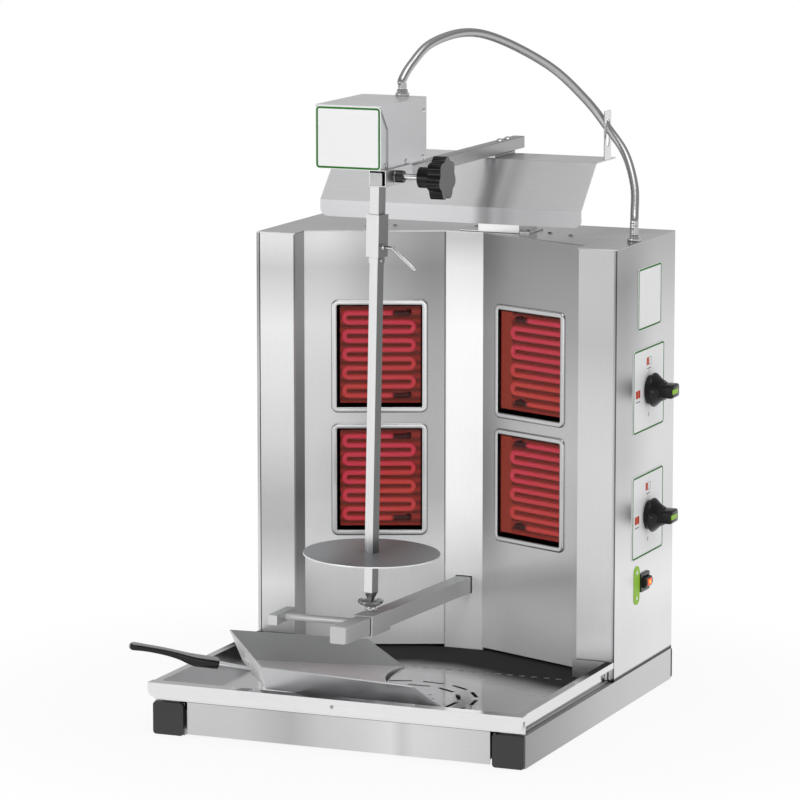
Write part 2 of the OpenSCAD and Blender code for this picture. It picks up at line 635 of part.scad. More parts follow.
// ---------- tray and drawer ----------
ring = [33, -148];
module slots() {
  for (i = [0:13]) translate(ring) rotate(85 + 360 / 14 * i) translate([94, 0])
    square([5, slot_l], center = true);
  for (i = [0:10]) translate(ring) rotate(59.5 + 360 / 11 * i) translate([73, 0])
    square([5, slot_l], center = true);
  for (i = [0:11]) translate(ring) rotate(17 + 30 * i) translate([42.5, 0]) circle(d = drain_d);
  for (i = [-11:11]) translate([16 * i, 21.5]) square([7.5, 4], center = true);
}
module drip_tray() {
  iw = hw - 10;
  color("gainsboro") {
    difference() {
      union() {
        translate([-iw - sheet, tray_y0, tray_z0]) cube([2 * iw + 2 * sheet, 303, sheet]);
        translate([-ret_x + 2, 40, tray_z0]) cube([2 * ret_x - 4, 100, sheet]);
      }
      translate([0, 0, tray_z0 - 1]) linear_extrude(4) slots();
    }
    for (s = [0, 1]) mirror([s, 0, 0]) {
      translate([iw, tray_y0, tray_z0]) cube([sheet, 303, tray_h]);
      translate([iw, lip_y + 1, tray_z1 - sheet]) cube([10, 316, sheet]);
      translate([hw - sheet, lip_y + 1, tray_z1 - 7.5]) cube([sheet, 316, 7.5]);
      translate([ret_x - 1.5, 42.5, tray_z0]) cube([hw - ret_x - 8, sheet, tray_h]);
    }
    translate([-hw, tray_y0, tray_z0]) cube([cab_w, sheet, tray_h]);
    translate([-hw - 2, lip_y, tray_z1 - sheet]) cube([cab_w + 4, tray_y0 - lip_y + 0.5, sheet]);
    difference() {
      translate([0, lip_y + sheet, tray_z1 - 9]) rotate([90, 0, 0]) linear_extrude(sheet) union() {
        rsq(cab_w + 4, 18, 8.9);
        translate([-hw - 2, 0]) square([cab_w + 4, 9]);
      }
      translate([0, lip_y - 2, tray_z1 - 9]) rotate([-90, 0, 0]) cylinder(d = 4.5, h = 6);
    }
  }
}
module grease_drawer() {
  color("silver") {
    translate([5 - rail_x, tray_y0 + 1, 8]) difference() {
      cube([2 * rail_x - 10, 226, 26]);
      translate([1.2, 1.2, 1.2]) cube([2 * rail_x - 12.4, 223.6, 30]);
    }
    translate([-rail_x + 4, tray_y0, 2]) cube([2 * rail_x - 8, sheet, 39.6]);
  }
}

// ---------- scoop ----------
sc_o = [42.5, -87, 43.7];
sc_n = [0.823, 0.569, 0];
sc_m = [-0.569, 0.823, 0];
sc_back = 26.7;           // height of the back edge of the floor over the tips
function sc(s, t, z) = sc_o + s * sc_n + t * sc_m + [0, 0, z];
function flip(f) = [for (i = [len(f) - 1:-1:0]) f[i]];
module plate4(a, b, c, d, th) {
  n = unit(cross(b - a, d - a)) * th;
  f = [[0, 1, 2], [0, 2, 3], [4, 6, 5], [4, 7, 6], [0, 5, 1], [0, 4, 5], [1, 6, 2], [1, 5, 6],
    [2, 7, 3], [2, 6, 7], [3, 4, 0], [3, 7, 4]];
  polyhedron([a, b, c, d, a + n, b + n, c + n, d + n], th > 0 ? f : [for (q = f) flip(q)]);
}
module tongue(gap) {
  translate(sc(-214, 0, 33)) rotate([0, 0, 34.7]) rotate([0, 14, 0])
    translate([-56, -9 - gap, -1 - gap]) cube([54, 18 + 2 * gap, 2.4 + 2 * gap]);
}
module rivet_at(t, z) {
  translate(sc(-211 - 11 * (z - sc_back) / 32.7, t, z)) rotate([0, 0, 34.7]) rotate([0, -108.6, 0])
    translate([0, 0, 1.9]) dome(7, 2);
}
module scoop_pan() {
  color("silver") {
    plate4(sc(0, 118, 0), sc(-211, 79, sc_back), sc(-222, 107, 59.4), sc(-43, 135.5, 33.4), -1.5);
    plate4(sc(-211, -79, sc_back), sc(0, -118, 0), sc(-43, -135.5, 33.4), sc(-222, -107, 59.4),
      -1.5);
    plate4(sc(-211, 79, sc_back), sc(-211, -79, sc_back), sc(-222, -107, 59.4),
      sc(-222, 107, 59.4), -1.5);
    difference() {
      plate4(sc(0, -118, 0), sc(0, 118, 0), sc(-211, 79, sc_back), sc(-211, -79, sc_back), 1.5);
      translate(sc(135, 0, -40)) cylinder(r = 180, h = 120, $fn = 120);
    }
    plate4(sc(-211.6, 13, 28.5), sc(-211.6, -13, 28.5), sc(-219.2, -13, 51), sc(-219.2, 13, 51), 2);
    tongue(0);
    for (t = [-8, 8]) rivet_at(t, 45);
  }
}
module scoop_handle() {
  color("black") difference() {
    translate(sc(-214, 0, 33)) rotate([0, 0, 34.7]) rotate([0, 14, 0]) {
      hull() {
        translate([-48, 0, 0]) scale([0.5, 1, 0.72]) sphere(11, $fn = 24);
        translate([-88, 0, -2.5]) scale([1, 1, 0.66]) sphere(9.5, $fn = 24);
      }
      hull() {
        translate([-88, 0, -2.5]) scale([1, 1, 0.66]) sphere(9.5, $fn = 24);
        translate([-126, 0, 1]) scale([1, 1, 0.62]) sphere(9, $fn = 24);
      }
      hull() {
        translate([-126, 0, 1]) scale([1, 1, 0.62]) sphere(9, $fn = 24);
        translate([-147, 0, -1]) scale([0.8, 1, 0.62]) sphere(9, $fn = 24);
      }
    }
    tongue(0.02);
  }
}

base_rail_left();
base_rail_right();
rail_end_caps();
base_crossbars();
tray_rests();
drawer_runners();
cabinet_floor();
cabinet_side_left();
cabinet_side_right();
cabinet_back();
pillar_left();
pillar_right();
heater_panel_left();
heater_panel_right();
centre_strip();
lid();
lid_screws();
window_bezels();
glass_panes();
heating_elements();
heater_boxes();
lower_arm();
upper_arm();
arm_caps();
arm_seat();
arm_screws();
shield();
shield_support();
conduit();
hose_fitting_top();
hose_fitting_lid();
control_plates();
label_plate();
switch_label();
rotary_switches();
rocker_frame();
cable_gland();
terminal_block();
motor_body();
motor_cover();
front_plate();
gearmotor();
carriage_sleeve();
cover_screws();
clamp_knob();
drive_shaft();
spit_chuck();
lock_lever();
slider_sleeve();
pivot_cup();
slider_handle();
spit_bar();
meat_disc();
upper_knob();
lower_knob();
rocker();
drip_tray();
grease_drawer();
scoop_pan();
scoop_handle();
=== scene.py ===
"""Looks of the electric skewer grill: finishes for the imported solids, and the fine pieces."""

from __future__ import annotations

import logging
import math
from dataclasses import dataclass, field
from enum import Enum
from typing import Any, Callable, Iterable, Sequence, Union

import bmesh
import bpy
from mathutils import Matrix, Vector

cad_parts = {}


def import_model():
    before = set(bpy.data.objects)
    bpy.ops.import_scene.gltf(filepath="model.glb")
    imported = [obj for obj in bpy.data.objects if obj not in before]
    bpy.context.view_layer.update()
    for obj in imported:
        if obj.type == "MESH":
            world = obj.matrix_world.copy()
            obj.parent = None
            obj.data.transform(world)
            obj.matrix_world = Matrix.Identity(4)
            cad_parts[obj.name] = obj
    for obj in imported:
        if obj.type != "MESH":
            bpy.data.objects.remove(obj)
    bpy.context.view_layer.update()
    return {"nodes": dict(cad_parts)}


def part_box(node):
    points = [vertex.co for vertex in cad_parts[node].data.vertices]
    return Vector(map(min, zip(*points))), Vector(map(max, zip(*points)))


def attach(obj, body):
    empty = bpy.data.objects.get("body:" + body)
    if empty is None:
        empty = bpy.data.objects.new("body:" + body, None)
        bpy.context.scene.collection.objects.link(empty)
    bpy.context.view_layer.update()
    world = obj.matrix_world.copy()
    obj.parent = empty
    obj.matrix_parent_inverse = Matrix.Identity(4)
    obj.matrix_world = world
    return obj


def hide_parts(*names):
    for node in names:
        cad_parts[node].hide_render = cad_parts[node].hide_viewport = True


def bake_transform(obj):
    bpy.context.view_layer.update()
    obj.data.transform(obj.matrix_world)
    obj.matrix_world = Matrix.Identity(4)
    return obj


BMesh = bmesh.types.BMesh
Colour = tuple[float, float, float, float]
Material = bpy.types.Material
Node = bpy.types.Node
Point = tuple[float, float, float]
Source = Union[bpy.types.Node, bpy.types.NodeSocket]
Span = tuple[float, float]
Stops = tuple[Span, ...]
Tree = bpy.types.NodeTree

LOG = logging.getLogger("skewer_grill")
MM = 0.001
HALF_WIDTH = 0.240
MERGE_DISTANCE = 1e-6
SHARP_ANGLE = math.radians(35)
SMOOTH = {"interpolation_type": "SMOOTHSTEP"}


# ---------------------------------------------------------------- finishes
def hex_colour(code: str) -> Colour:
    """Turns an sRGB hex colour into the linear colour that a shader takes.

    Args:
        code: Six hex digits, with or without a leading hash.

    Returns:
        Linear red, green, blue and an alpha of 1.
    """
    digits = code.lstrip("#")
    parts = [int(digits[i : i + 2], 16) / 255 for i in (0, 2, 4)]
    linear = [c / 12.92 if c <= 0.04045 else ((c + 0.055) / 1.055) ** 2.4 for c in parts]
    return (linear[0], linear[1], linear[2], 1.0)


def fill(tree: Tree, node: Node, values: dict[str | int, Any]) -> None:
    """Sets a node's values and joins its inputs.

    Args:
        tree: The tree that the node is in.
        node: The node.
        values: Properties by name, or inputs by socket name or number. A socket given for an
            input is joined to it; a node is joined by its first output.
    """
    for key, value in values.items():
        if isinstance(value, bpy.types.Node):
            value = value.outputs[0]
        if isinstance(value, bpy.types.NodeSocket):
            tree.links.new(value, node.inputs[key])
        elif isinstance(key, str) and hasattr(node, key):
            setattr(node, key, value)
        else:
            node.inputs[key].default_value = value


def add_node(tree: Tree, kind: str, values: dict[str | int, Any] | None = None) -> Node:
    """Adds one shader node to a tree.

    Args:
        tree: The node tree.
        kind: The node's type name after ShaderNode, and its operation if it has one.
        values: What fill takes, properties first.

    Returns:
        The new node.
    """
    name, _, operation = kind.partition(" ")
    node = tree.nodes.new("ShaderNode" + name)
    if operation:
        node.operation = operation
    fill(tree, node, values or {})
    return node


def blend(tree: Tree, socket: bpy.types.NodeSocket, mask: Source, far: Any) -> None:
    """Blends what a shader's input has towards something else where a mask is 1.

    Args:
        tree: The material's node tree.
        socket: The shader's input, a number or a colour.
        mask: The mask, 0 to 1.
        far: The value, colour, socket or node where the mask is 1.
    """
    near = socket.links[0].from_socket if socket.links else socket.default_value
    if socket.type == "RGBA":
        mix = add_node(tree, "Mix", {"data_type": "RGBA", 0: mask, 6: near, 7: far}).outputs[2]
    else:
        mix = add_node(tree, "Mix", {0: mask, 2: near, 3: far}).outputs[0]
    tree.links.new(mix, socket)


class Grain(Enum):
    """The way the polishing lines of a steel sheet run: noise steps per metre along X, Y and Z."""

    ALONG_X = (45.0, 900.0, 900.0)
    ALONG_Y = (900.0, 45.0, 900.0)
    ALONG_Z = (900.0, 900.0, 45.0)
    CROSSED = (700.0, 700.0, 700.0)


@dataclass(frozen=True)
class Tone:
    """Slow change of tone over a sheet, two runs and their blend: mostly painted light and shade in
    place of its reflections, and on the sleeve its blackened boss.

    A run is a row of places in millimetres, each with its share of the sheet's colour.
    """

    near: Stops
    far: Stops = ()
    along: str = "Z"
    across: str = "X"
    reach: Span = (0.0, 1.0)

    def run(self, tree: Tree, split: Node, stops: Stops) -> Node:
        """Adds one run.

        Args:
            tree: The material's node tree.
            split: The node that gives the point's X, Y and Z.
            stops: The places and shares of the run.

        Returns:
            The ramp that gives the share at the point.
        """
        low, high = stops[0][0], stops[-1][0]
        ends = {"From Min": low * MM, "From Max": high * MM}
        share = add_node(tree, "MapRange", {**ends, "Value": split.outputs[self.along]})
        ramp = add_node(tree, "ValToRGB", {"Fac": share})
        marks = ramp.color_ramp.elements
        while len(marks) > 1:
            marks.remove(marks[-1])
        for index, (place, value) in enumerate(stops):
            at = (place - low) / (high - low)
            mark = marks[0] if index == 0 else marks.new(at)
            mark.position = at
            mark.color = (value, value, value, 1.0)
        return ramp

    def share(self, tree: Tree, place: Source) -> Source:
        """Adds both runs and blends them.

        Args:
            tree: The material's node tree.
            place: The point in the object's own coordinates.

        Returns:
            The share of the sheet's colour at the point.
        """
        split = add_node(tree, "SeparateXYZ", {0: place})
        near = self.run(tree, split, self.near)
        if not self.far:
            return near
        far = self.run(tree, split, self.far)
        ends = {"From Min": self.reach[0] * MM, "From Max": self.reach[1] * MM}
        mask = add_node(tree, "MapRange", {**SMOOTH, **ends, "Value": split.outputs[self.across]})
        return add_node(tree, "Mix", {"data_type": "RGBA", 0: mask, 6: near, 7: far}).outputs[2]


@dataclass(frozen=True)
class Side:
    """Painted light and shade, and gloss, on the faces of a steel piece that look one way."""

    direction: Point
    tint: str
    metallic: float = 1.0
    roughness: float = 0.35
    # A run of painted shade across these faces.
    painted_shade_and_wear: Tone | None = None
    limits: Span = (0.6, 0.75)

    def apply(self, tree: Tree, shader: Node) -> None:
        """Paints light and shade on those faces and changes their gloss.

        Args:
            tree: The material's node tree.
            shader: Its principled shader, with a linked base colour.
        """
        coords = add_node(tree, "TexCoord").outputs
        facing = add_node(tree, "VectorMath DOT_PRODUCT", {0: coords["Normal"], 1: self.direction})
        low, high = self.limits
        limits = {"From Min": low, "From Max": high, "Value": facing.outputs["Value"]}
        mask = add_node(tree, "MapRange", {**SMOOTH, **limits})
        base = shader.inputs["Base Color"]
        tint = {0: base.links[0].from_socket, 1: hex_colour(self.tint)[:3]}
        tinted = add_node(tree, "VectorMath MULTIPLY", tint)
        if self.painted_shade_and_wear is not None:
            share = self.painted_shade_and_wear.share(tree, coords["Object"])
            tinted = add_node(tree, "VectorMath SCALE", {0: tinted, "Scale": share})
        blend(tree, base, mask, tinted)
        blend(tree, shader.inputs["Roughness"], mask, self.roughness)
        blend(tree, shader.inputs["Metallic"], mask, self.metallic)


@dataclass(frozen=True)
class Finish:
    """A finish that starts from a principled shader and its common settings."""

    name: str
    colour: str
    roughness: float = 0.4
    metallic: float = 0.0

    def build(self) -> Material:
        """Returns the finished material."""
        material = bpy.data.materials.new(self.name)
        material.use_nodes = True
        tree, colour = material.node_tree, hex_colour(self.colour)
        shader = tree.nodes["Principled BSDF"]
        settings = {"Base Color": colour, "Roughness": self.roughness, "Metallic": self.metallic}
        fill(tree, shader, settings)
        material.diffuse_color = colour
        self.detail(tree, shader)
        return material

    def detail(self, tree: Tree, shader: Node) -> None:
        """Adds the nodes that set the finish apart.

        Args:
            tree: The material's node tree.
            shader: Its principled shader, with its common settings made.
        """


@dataclass(frozen=True)
class RolledSteel(Finish):
    """Cold rolled 1.4301 stainless sheet with a fine grain: pale, soft streaks in the gloss."""

    colour: str = "#D2D2D3"
    roughness: float = 0.34
    metallic: float = 1.0
    grain: Grain = Grain.ALONG_Z
    spread: float = 0.04
    shade: float = 0.08
    bump: float = 0.012
    # Its run: mostly painted light and shade in place of reflections; on the sleeve, its blackened
    # boss.
    painted_shade_and_wear: Tone | None = None
    sides: tuple[Side, ...] = ()
    dull_foot: Span | None = None
    dull_metallic: float = 0.15

    def detail(self, tree: Tree, shader: Node) -> None:
        """Makes gloss and colour waver along the rolling lines, then adds its tone run and painted
        sides.
        """
        place = add_node(tree, "TexCoord").outputs["Object"]
        # The real lines are some 0.05 mm apart; here they are 1.1 mm, so that they show.
        lines = add_node(tree, "VectorMath MULTIPLY", {0: place, 1: self.grain.value})
        fine = add_node(tree, "TexNoise", {"Scale": 1.0, "Detail": 3.0, "Vector": lines})
        cloud = add_node(tree, "TexNoise", {"Scale": 9.0, "Detail": 2.0, "Vector": place})
        both = add_node(tree, "Math ADD", {0: fine, 1: cloud})
        waver = {"From Min": 0.6, "From Max": 1.4, "Value": both}
        low, high = self.roughness - self.spread, self.roughness + self.spread
        rough = add_node(tree, "MapRange", {**waver, "To Min": low, "To Max": high})
        tone = add_node(tree, "MapRange", {**waver, "To Min": 1 - self.shade, "To Max": 1.0})
        # The run: painted light and shade in place of reflections; on the sleeve, its blackened
        # boss.
        if self.painted_shade_and_wear is not None:
            share = self.painted_shade_and_wear.share(tree, place)
            tone = add_node(tree, "Math MULTIPLY", {0: tone, 1: share})
        colour = hex_colour(self.colour)[:3]
        base = add_node(tree, "VectorMath SCALE", {0: colour, "Scale": tone})
        relief = add_node(tree, "Bump", {"Strength": self.bump, "Distance": 0.0004, "Height": fine})
        fill(tree, shader, {"Roughness": rough, "Base Color": base, "Normal": relief})
        # The sides: painted light and shade on faces that look one way.
        for side in self.sides:
            side.apply(tree, shader)
        if self.dull_foot is not None:
            top, bottom = self.dull_foot
            height = add_node(tree, "SeparateXYZ", {0: place}).outputs["Z"]
            fade = {"From Min": bottom * MM, "From Max": top * MM, "To Min": 1.0, "To Max": 0.0}
            foot = add_node(tree, "MapRange", {**SMOOTH, **fade, "Value": height})
            blend(tree, shader.inputs["Metallic"], foot, self.dull_metallic)


@dataclass(frozen=True)
class TrayFloorWithPaintedShade(RolledSteel):
    """Mirror polished tray steel with painted shade, grey to black, under the slanted heater
    panels.
    """

    # In metres: the right panel's foot next to the middle, and the band's edges before it.
    corner: Span = (0.026, 0.146)
    slope: float = 0.432
    fade: Span = (-0.150, -0.068)
    waver: float = 0.02
    level_from: float = 0.8
    dark: str = "#050505"
    dark_roughness: float = 0.8

    def detail(self, tree: Tree, shader: Node) -> None:
        """Adds the painted dark band along the panels' feet to the polished steel."""
        super().detail(tree, shader)
        coords = add_node(tree, "TexCoord").outputs
        split = add_node(tree, "SeparateXYZ", {0: coords["Object"]}).outputs
        across = add_node(tree, "Math ABSOLUTE", {0: split["X"]})
        beyond = add_node(tree, "Math MAXIMUM", {0: across, 1: self.corner[0]})
        feet = add_node(tree, "Math MULTIPLY_ADD", {0: beyond, 1: self.slope, 2: split["Y"]})
        wave = add_node(tree, "TexNoise", {"Scale": 9.0, "Detail": 2.0, "Vector": coords["Object"]})
        edge = add_node(tree, "Math MULTIPLY_ADD", {0: wave, 1: self.waver, 2: feet})
        start = self.corner[1] + self.slope * self.corner[0]
        ends = {"From Min": start + self.fade[0], "From Max": start + self.fade[1]}
        reach = add_node(tree, "MapRange", {**SMOOTH, **ends, "Value": edge})
        up = add_node(tree, "SeparateXYZ", {0: coords["Normal"]}).outputs["Z"]
        level = add_node(tree, "Math GREATER_THAN", {0: up, 1: self.level_from})
        # Painted shade: in the band the level floor turns dark, rough and not metallic.
        back = add_node(tree, "Math MULTIPLY", {0: reach, 1: level})
        blend(tree, shader.inputs["Base Color"], back, hex_colour(self.dark))
        blend(tree, shader.inputs["Roughness"], back, self.dark_roughness)
        blend(tree, shader.inputs["Metallic"], back, 0.0)


@dataclass(frozen=True)
class MouldedPlastic(Finish):
    """Injection moulded plastic: a fine spark-eroded grain breaks up its soft gloss."""

    grit_mm: float = 0.6
    bump: float = 0.15
    ior: float = 1.5

    def detail(self, tree: Tree, shader: Node) -> None:
        """Adds the mould's grain as bump, and gloss that is a little worn and uneven."""
        place = add_node(tree, "TexCoord").outputs["Object"]
        scale = 1.0 / (self.grit_mm * MM)
        grit = add_node(tree, "TexNoise", {"Scale": scale, "Detail": 2.0, "Vector": place})
        painted_shade_and_wear = add_node(tree, "TexNoise", {"Scale": 40.0, "Detail": 4.0, "Vector": place})
        gloss = {"To Min": self.roughness - 0.07, "To Max": self.roughness + 0.09}
        rough = add_node(tree, "MapRange", {**gloss, "Value": painted_shade_and_wear})
        relief = add_node(tree, "Bump", {"Strength": self.bump, "Distance": 0.0001, "Height": grit})
        fill(tree, shader, {"IOR": self.ior, "Roughness": rough, "Normal": relief})


@dataclass(frozen=True)
class ClampKnobPlastic(MouldedPlastic):
    """Phenolic star knob on its steel stud: glossy black flutes, a face painted lighter grey-black.
    """

    face: str = "#4A4A4B"
    stud: str = "#C6C6C7"
    stud_end_mm: float = 75.5
    face_limits: Span = (0.8, 0.98)

    def detail(self, tree: Tree, shader: Node) -> None:
        """Adds a painted highlight on the knob's face, and steel where the stud is."""
        super().detail(tree, shader)
        coords = add_node(tree, "TexCoord").outputs
        along, facing = (
            add_node(tree, "SeparateXYZ", {0: coords[name]}).outputs["X"]
            for name in ("Object", "Normal")
        )
        end = self.stud_end_mm * MM
        steel = add_node(tree, "Math LESS_THAN", {0: along, 1: end})
        low, high = self.face_limits
        limits = {**SMOOTH, "From Min": low, "From Max": high, "Value": facing}
        front = add_node(tree, "MapRange", limits)
        # Painted highlight: the front face lighter grey than the flutes.
        blend(tree, shader.inputs["Base Color"], front, hex_colour(self.face))
        blend(tree, shader.inputs["Base Color"], steel, hex_colour(self.stud))
        fill(tree, shader, {"Metallic": steel})


@dataclass(frozen=True)
class PrintedFilm(Finish):
    """Screen printed polyester film: even colour, a faint satin texture."""

    glow: float = 0.0
    gloss: float = 0.15

    def detail(self, tree: Tree, shader: Node) -> None:
        """Adds the satin texture, and light if a lamp is behind the film."""
        place = add_node(tree, "TexCoord").outputs["Object"]
        satin = add_node(tree, "TexNoise", {"Scale": 1500.0, "Detail": 1.0, "Vector": place})
        relief = add_node(tree, "Bump", {"Strength": 0.05, "Distance": 0.0001, "Height": satin})
        fill(tree, shader, {"Specular IOR Level": self.gloss, "Normal": relief})
        if self.glow:
            colour = hex_colour(self.colour)
            fill(tree, shader, {"Emission Color": colour, "Emission Strength": self.glow})


@dataclass(frozen=True)
class WindowGrid:
    """Where the four windows are in metres: along a slanted panel and at two heights."""

    middles: Span = (0.2592, 0.4167)
    inner: float = 0.026
    # Length along the panel for each unit of X.
    lean: float = 1.0893
    centre: float = 0.082

    def sockets(self, tree: Tree) -> tuple[Node, Node]:
        """Adds the nodes that measure a point against its window.

        Args:
            tree: The material's node tree.

        Returns:
            The distance outwards from the window's middle, and the height above it.
        """
        place = add_node(tree, "TexCoord").outputs["Object"]
        split = add_node(tree, "SeparateXYZ", {0: place}).outputs
        across = add_node(tree, "Math ABSOLUTE", {0: split["X"]})
        start = -self.inner * self.lean - self.centre
        outwards = add_node(tree, "Math MULTIPLY_ADD", {0: across, 1: self.lean, 2: start})
        low, high = self.middles
        row = add_node(tree, "Math GREATER_THAN", {0: split["Z"], 1: (low + high) / 2})
        middle = add_node(tree, "Math MULTIPLY_ADD", {0: row, 1: high - low, 2: low})
        return outwards, add_node(tree, "Math SUBTRACT", {0: split["Z"], 1: middle})


@dataclass(frozen=True)
class HeaterGlass(Finish):
    """Clear ceramic glass before the heaters, its rim painted black as the frame's shadow."""

    ior: float = 1.12
    rim: str = "#030303"
    sides: Span = (-0.0512, 0.0520)
    ends: Span = (-0.0602, 0.0634)

    def detail(self, tree: Tree, shader: Node) -> None:
        """Makes the glass clear and paints the frame's shadow black on its rim."""
        fill(tree, shader, {"Transmission Weight": 1.0, "IOR": self.ior})
        black = {"Base Color": hex_colour(self.rim), "Roughness": 0.5, "Specular IOR Level": 0.0}
        past = []
        for source, (low, high) in zip(WindowGrid().sockets(tree), (self.sides, self.ends)):
            away = add_node(tree, "Math SUBTRACT", {0: source, 1: (low + high) / 2})
            far = add_node(tree, "Math ABSOLUTE", {0: away})
            past.append(add_node(tree, "Math GREATER_THAN", {0: far, 1: (high - low) / 2}))
        outside = add_node(tree, "Math MAXIMUM", {0: past[0], 1: past[1]})
        # Painted shadow: black outside the window's opening.
        rim = add_node(tree, "BsdfPrincipled", black)
        mix = add_node(tree, "MixShader", {0: outside, 1: shader, 2: rim})
        fill(tree, tree.nodes["Material Output"], {"Surface": mix})


@dataclass(frozen=True)
class GlowingRod(Finish):
    """Resistance rod in its steel sheath at a dull red heat, dark at its two cold ends."""

    hot: str = "#B23446"
    warm: str = "#AA3A36"
    edge: str = "#64201C"
    heat_marks: Span = (0.28, 0.55)
    strength: float = 1.0
    cold_strength: float = 0.05
    cold_from: float = -0.0140
    cold_fade: float = 0.006
    end_rows: float = 0.048

    def detail(self, tree: Tree, shader: Node) -> None:
        """Makes the rod glow, painted brighter where it faces the room and darker at its sides."""
        outwards, height = WindowGrid().sockets(tree)
        place = add_node(tree, "TexCoord").outputs["Object"]
        waver = add_node(tree, "TexNoise", {"Scale": 14.0, "Detail": 1.0, "Vector": place})
        heat = add_node(tree, "Math MULTIPLY_ADD", {0: height, 1: 4.0, 2: waver})
        core = add_node(tree, "ValToRGB", {"Fac": heat})
        for index, (at, code) in enumerate(zip(self.heat_marks, (self.warm, self.hot))):
            core.color_ramp.elements[index].position = at
            core.color_ramp.elements[index].color = hex_colour(code)
        # Painted fall-off: faces turned away from the room take the darker edge colour.
        normal = add_node(tree, "NewGeometry").outputs["Normal"]
        front = add_node(tree, "SeparateXYZ", {0: normal}).outputs["Y"]
        fall = {**SMOOTH, "From Min": -0.05, "From Max": -0.95, "Value": front}
        share, edge = add_node(tree, "MapRange", fall), hex_colour(self.edge)
        mix = add_node(tree, "Mix", {"data_type": "RGBA", 0: share, 6: edge, 7: core})
        away = add_node(tree, "Math ABSOLUTE", {0: height})
        end_row = add_node(tree, "Math GREATER_THAN", {0: away, 1: self.end_rows})
        ends = {"From Min": self.cold_from, "From Max": self.cold_from + self.cold_fade}
        fade = {**SMOOTH, **ends, "To Min": 1.0, "To Max": 0.0, "Value": outwards}
        inner = add_node(tree, "MapRange", fade)
        cold = add_node(tree, "Math MULTIPLY", {0: end_row, 1: inner})
        glow = {"To Min": self.strength, "To Max": self.cold_strength, "Value": cold}
        power = add_node(tree, "MapRange", glow)
        fill(tree, shader, {"Emission Color": mix.outputs[2], "Emission Strength": power})


@dataclass(frozen=True)
class HeaterLining(Finish):
    """Black enamelled box behind the rods, with a painted red glow on its back and inner wall."""

    lit: str = "#4C1C15"
    glow: str = "#822C26"
    wall_strength: float = 2.9
    pitch: float = 0.0117

    def detail(self, tree: Tree, shader: Node) -> None:
        """Paints the rods' glow on the lining, brighter in bands behind the rods."""
        height = WindowGrid().sockets(tree)[1]
        rate = math.tau / self.pitch
        angle = add_node(tree, "Math MULTIPLY_ADD", {0: height, 1: rate, 2: math.pi})
        wave = add_node(tree, "Math COSINE", {0: angle})
        band = add_node(tree, "MapRange", {"From Min": -1.0, "From Max": 1.0, "Value": wave})
        place = add_node(tree, "TexCoord").outputs["Object"]
        side = add_node(tree, "SeparateXYZ", {0: place}).outputs["X"]
        sign = add_node(tree, "Math SIGN", {0: side})
        facing = add_node(tree, "NewGeometry").outputs["Normal"]
        normal = add_node(tree, "SeparateXYZ", {0: facing}).outputs
        # Painted glow: back faces and inner walls emit in place of the rods' light falling there.
        behind = {"From Min": -0.75, "From Max": -0.85, "Value": normal["Y"]}
        back = add_node(tree, "MapRange", behind)
        out = add_node(tree, "Math MULTIPLY", {0: sign, 1: normal["X"]})
        inner = {"From Min": 0.7, "From Max": 0.85, "To Max": self.wall_strength, "Value": out}
        wall = add_node(tree, "MapRange", inner)
        power = add_node(tree, "Math ADD", {0: back, 1: wall})
        share = add_node(tree, "Math MULTIPLY", {0: band, 1: back})
        tones = {6: hex_colour(self.lit), 7: hex_colour(self.glow)}
        mix = add_node(tree, "Mix", {"data_type": "RGBA", 0: share, **tones})
        fill(tree, shader, {"Emission Color": mix.outputs[2], "Emission Strength": power})


@dataclass(frozen=True)
class Workshop:
    """Every finish of the grill, each made once and asked for by name."""

    made: dict[str, Material] = field(default_factory=dict)

    def get(self, finish: Finish) -> Material:
        """Returns the material of a finish, built on its first use."""
        if finish.name not in self.made:
            self.made[finish.name] = finish.build()
        return self.made[finish.name]


# Heights in millimetres at which the cabinet's sheets were compared with the photograph.
HEIGHTS = (93, 129, 166, 202, 239, 311, 384, 457, 530, 566)
# Painted shadow: the right side's lowest 2 mm are darkened as the gap above the rail.
RAIL_GAP_PAINTED_SHADOW = ((41, 0.03), (43.9, 0.03))
FOOT_FADE = (190.0, 100.0)
FRONT = (0.0, -1.0, 0.0)
TOP = (0.0, 0.0, 1.0)


def upwards(*shares: float) -> Stops:
    """Returns a run with one share of the sheet's colour at each of the heights."""
    return tuple(zip(HEIGHTS, shares))


# Painted light and shade on the left pillar, by height, in place of its reflections.
LEFT_PILLAR_PAINTED_SHADE = Tone(
    near=upwards(0.94, 1.08, 0.84, 0.68, 0.68, 0.87, 0.94, 0.96, 0.65, 0.8),
    far=upwards(0.98, 0.85, 0.53, 0.38, 0.34, 0.48, 0.62, 0.87, 1.06, 1.01),
    across="Y",
    reach=(50.0, 53.0),
)
# Painted light and shade on the right pillar: lighter low down, darker towards the top.
RIGHT_PILLAR_PAINTED_SHADE = Tone(upwards(1.19, 1.22, 1.09, 1.03, 0.98, 0.94, 0.82, 0.64, 0.63, 0.61))
# Painted light and shade on the left heater panel, by height, in place of its reflections.
LEFT_PANEL_PAINTED_SHADE = Tone(
    near=upwards(1.26, 1.26, 1.24, 0.96, 0.81, 0.82, 0.78, 0.8, 0.61, 0.77),
    far=upwards(1.25, 1.25, 1.05, 0.78, 0.61, 0.56, 0.5, 0.41, 0.28, 0.34),
    reach=(-170.0, -35.0),
)
# Painted light and shade on the right heater panel, by height, in place of its reflections.
RIGHT_PANEL_PAINTED_SHADE = Tone(
    near=upwards(1.45, 1.2, 0.9, 0.7, 0.66, 0.67, 0.74, 0.72, 0.43, 0.38),
    far=upwards(1.3, 1.2, 1.1, 0.96, 0.9, 0.93, 0.84, 0.66, 0.56, 0.5),
    reach=(30.0, 80.0),
)
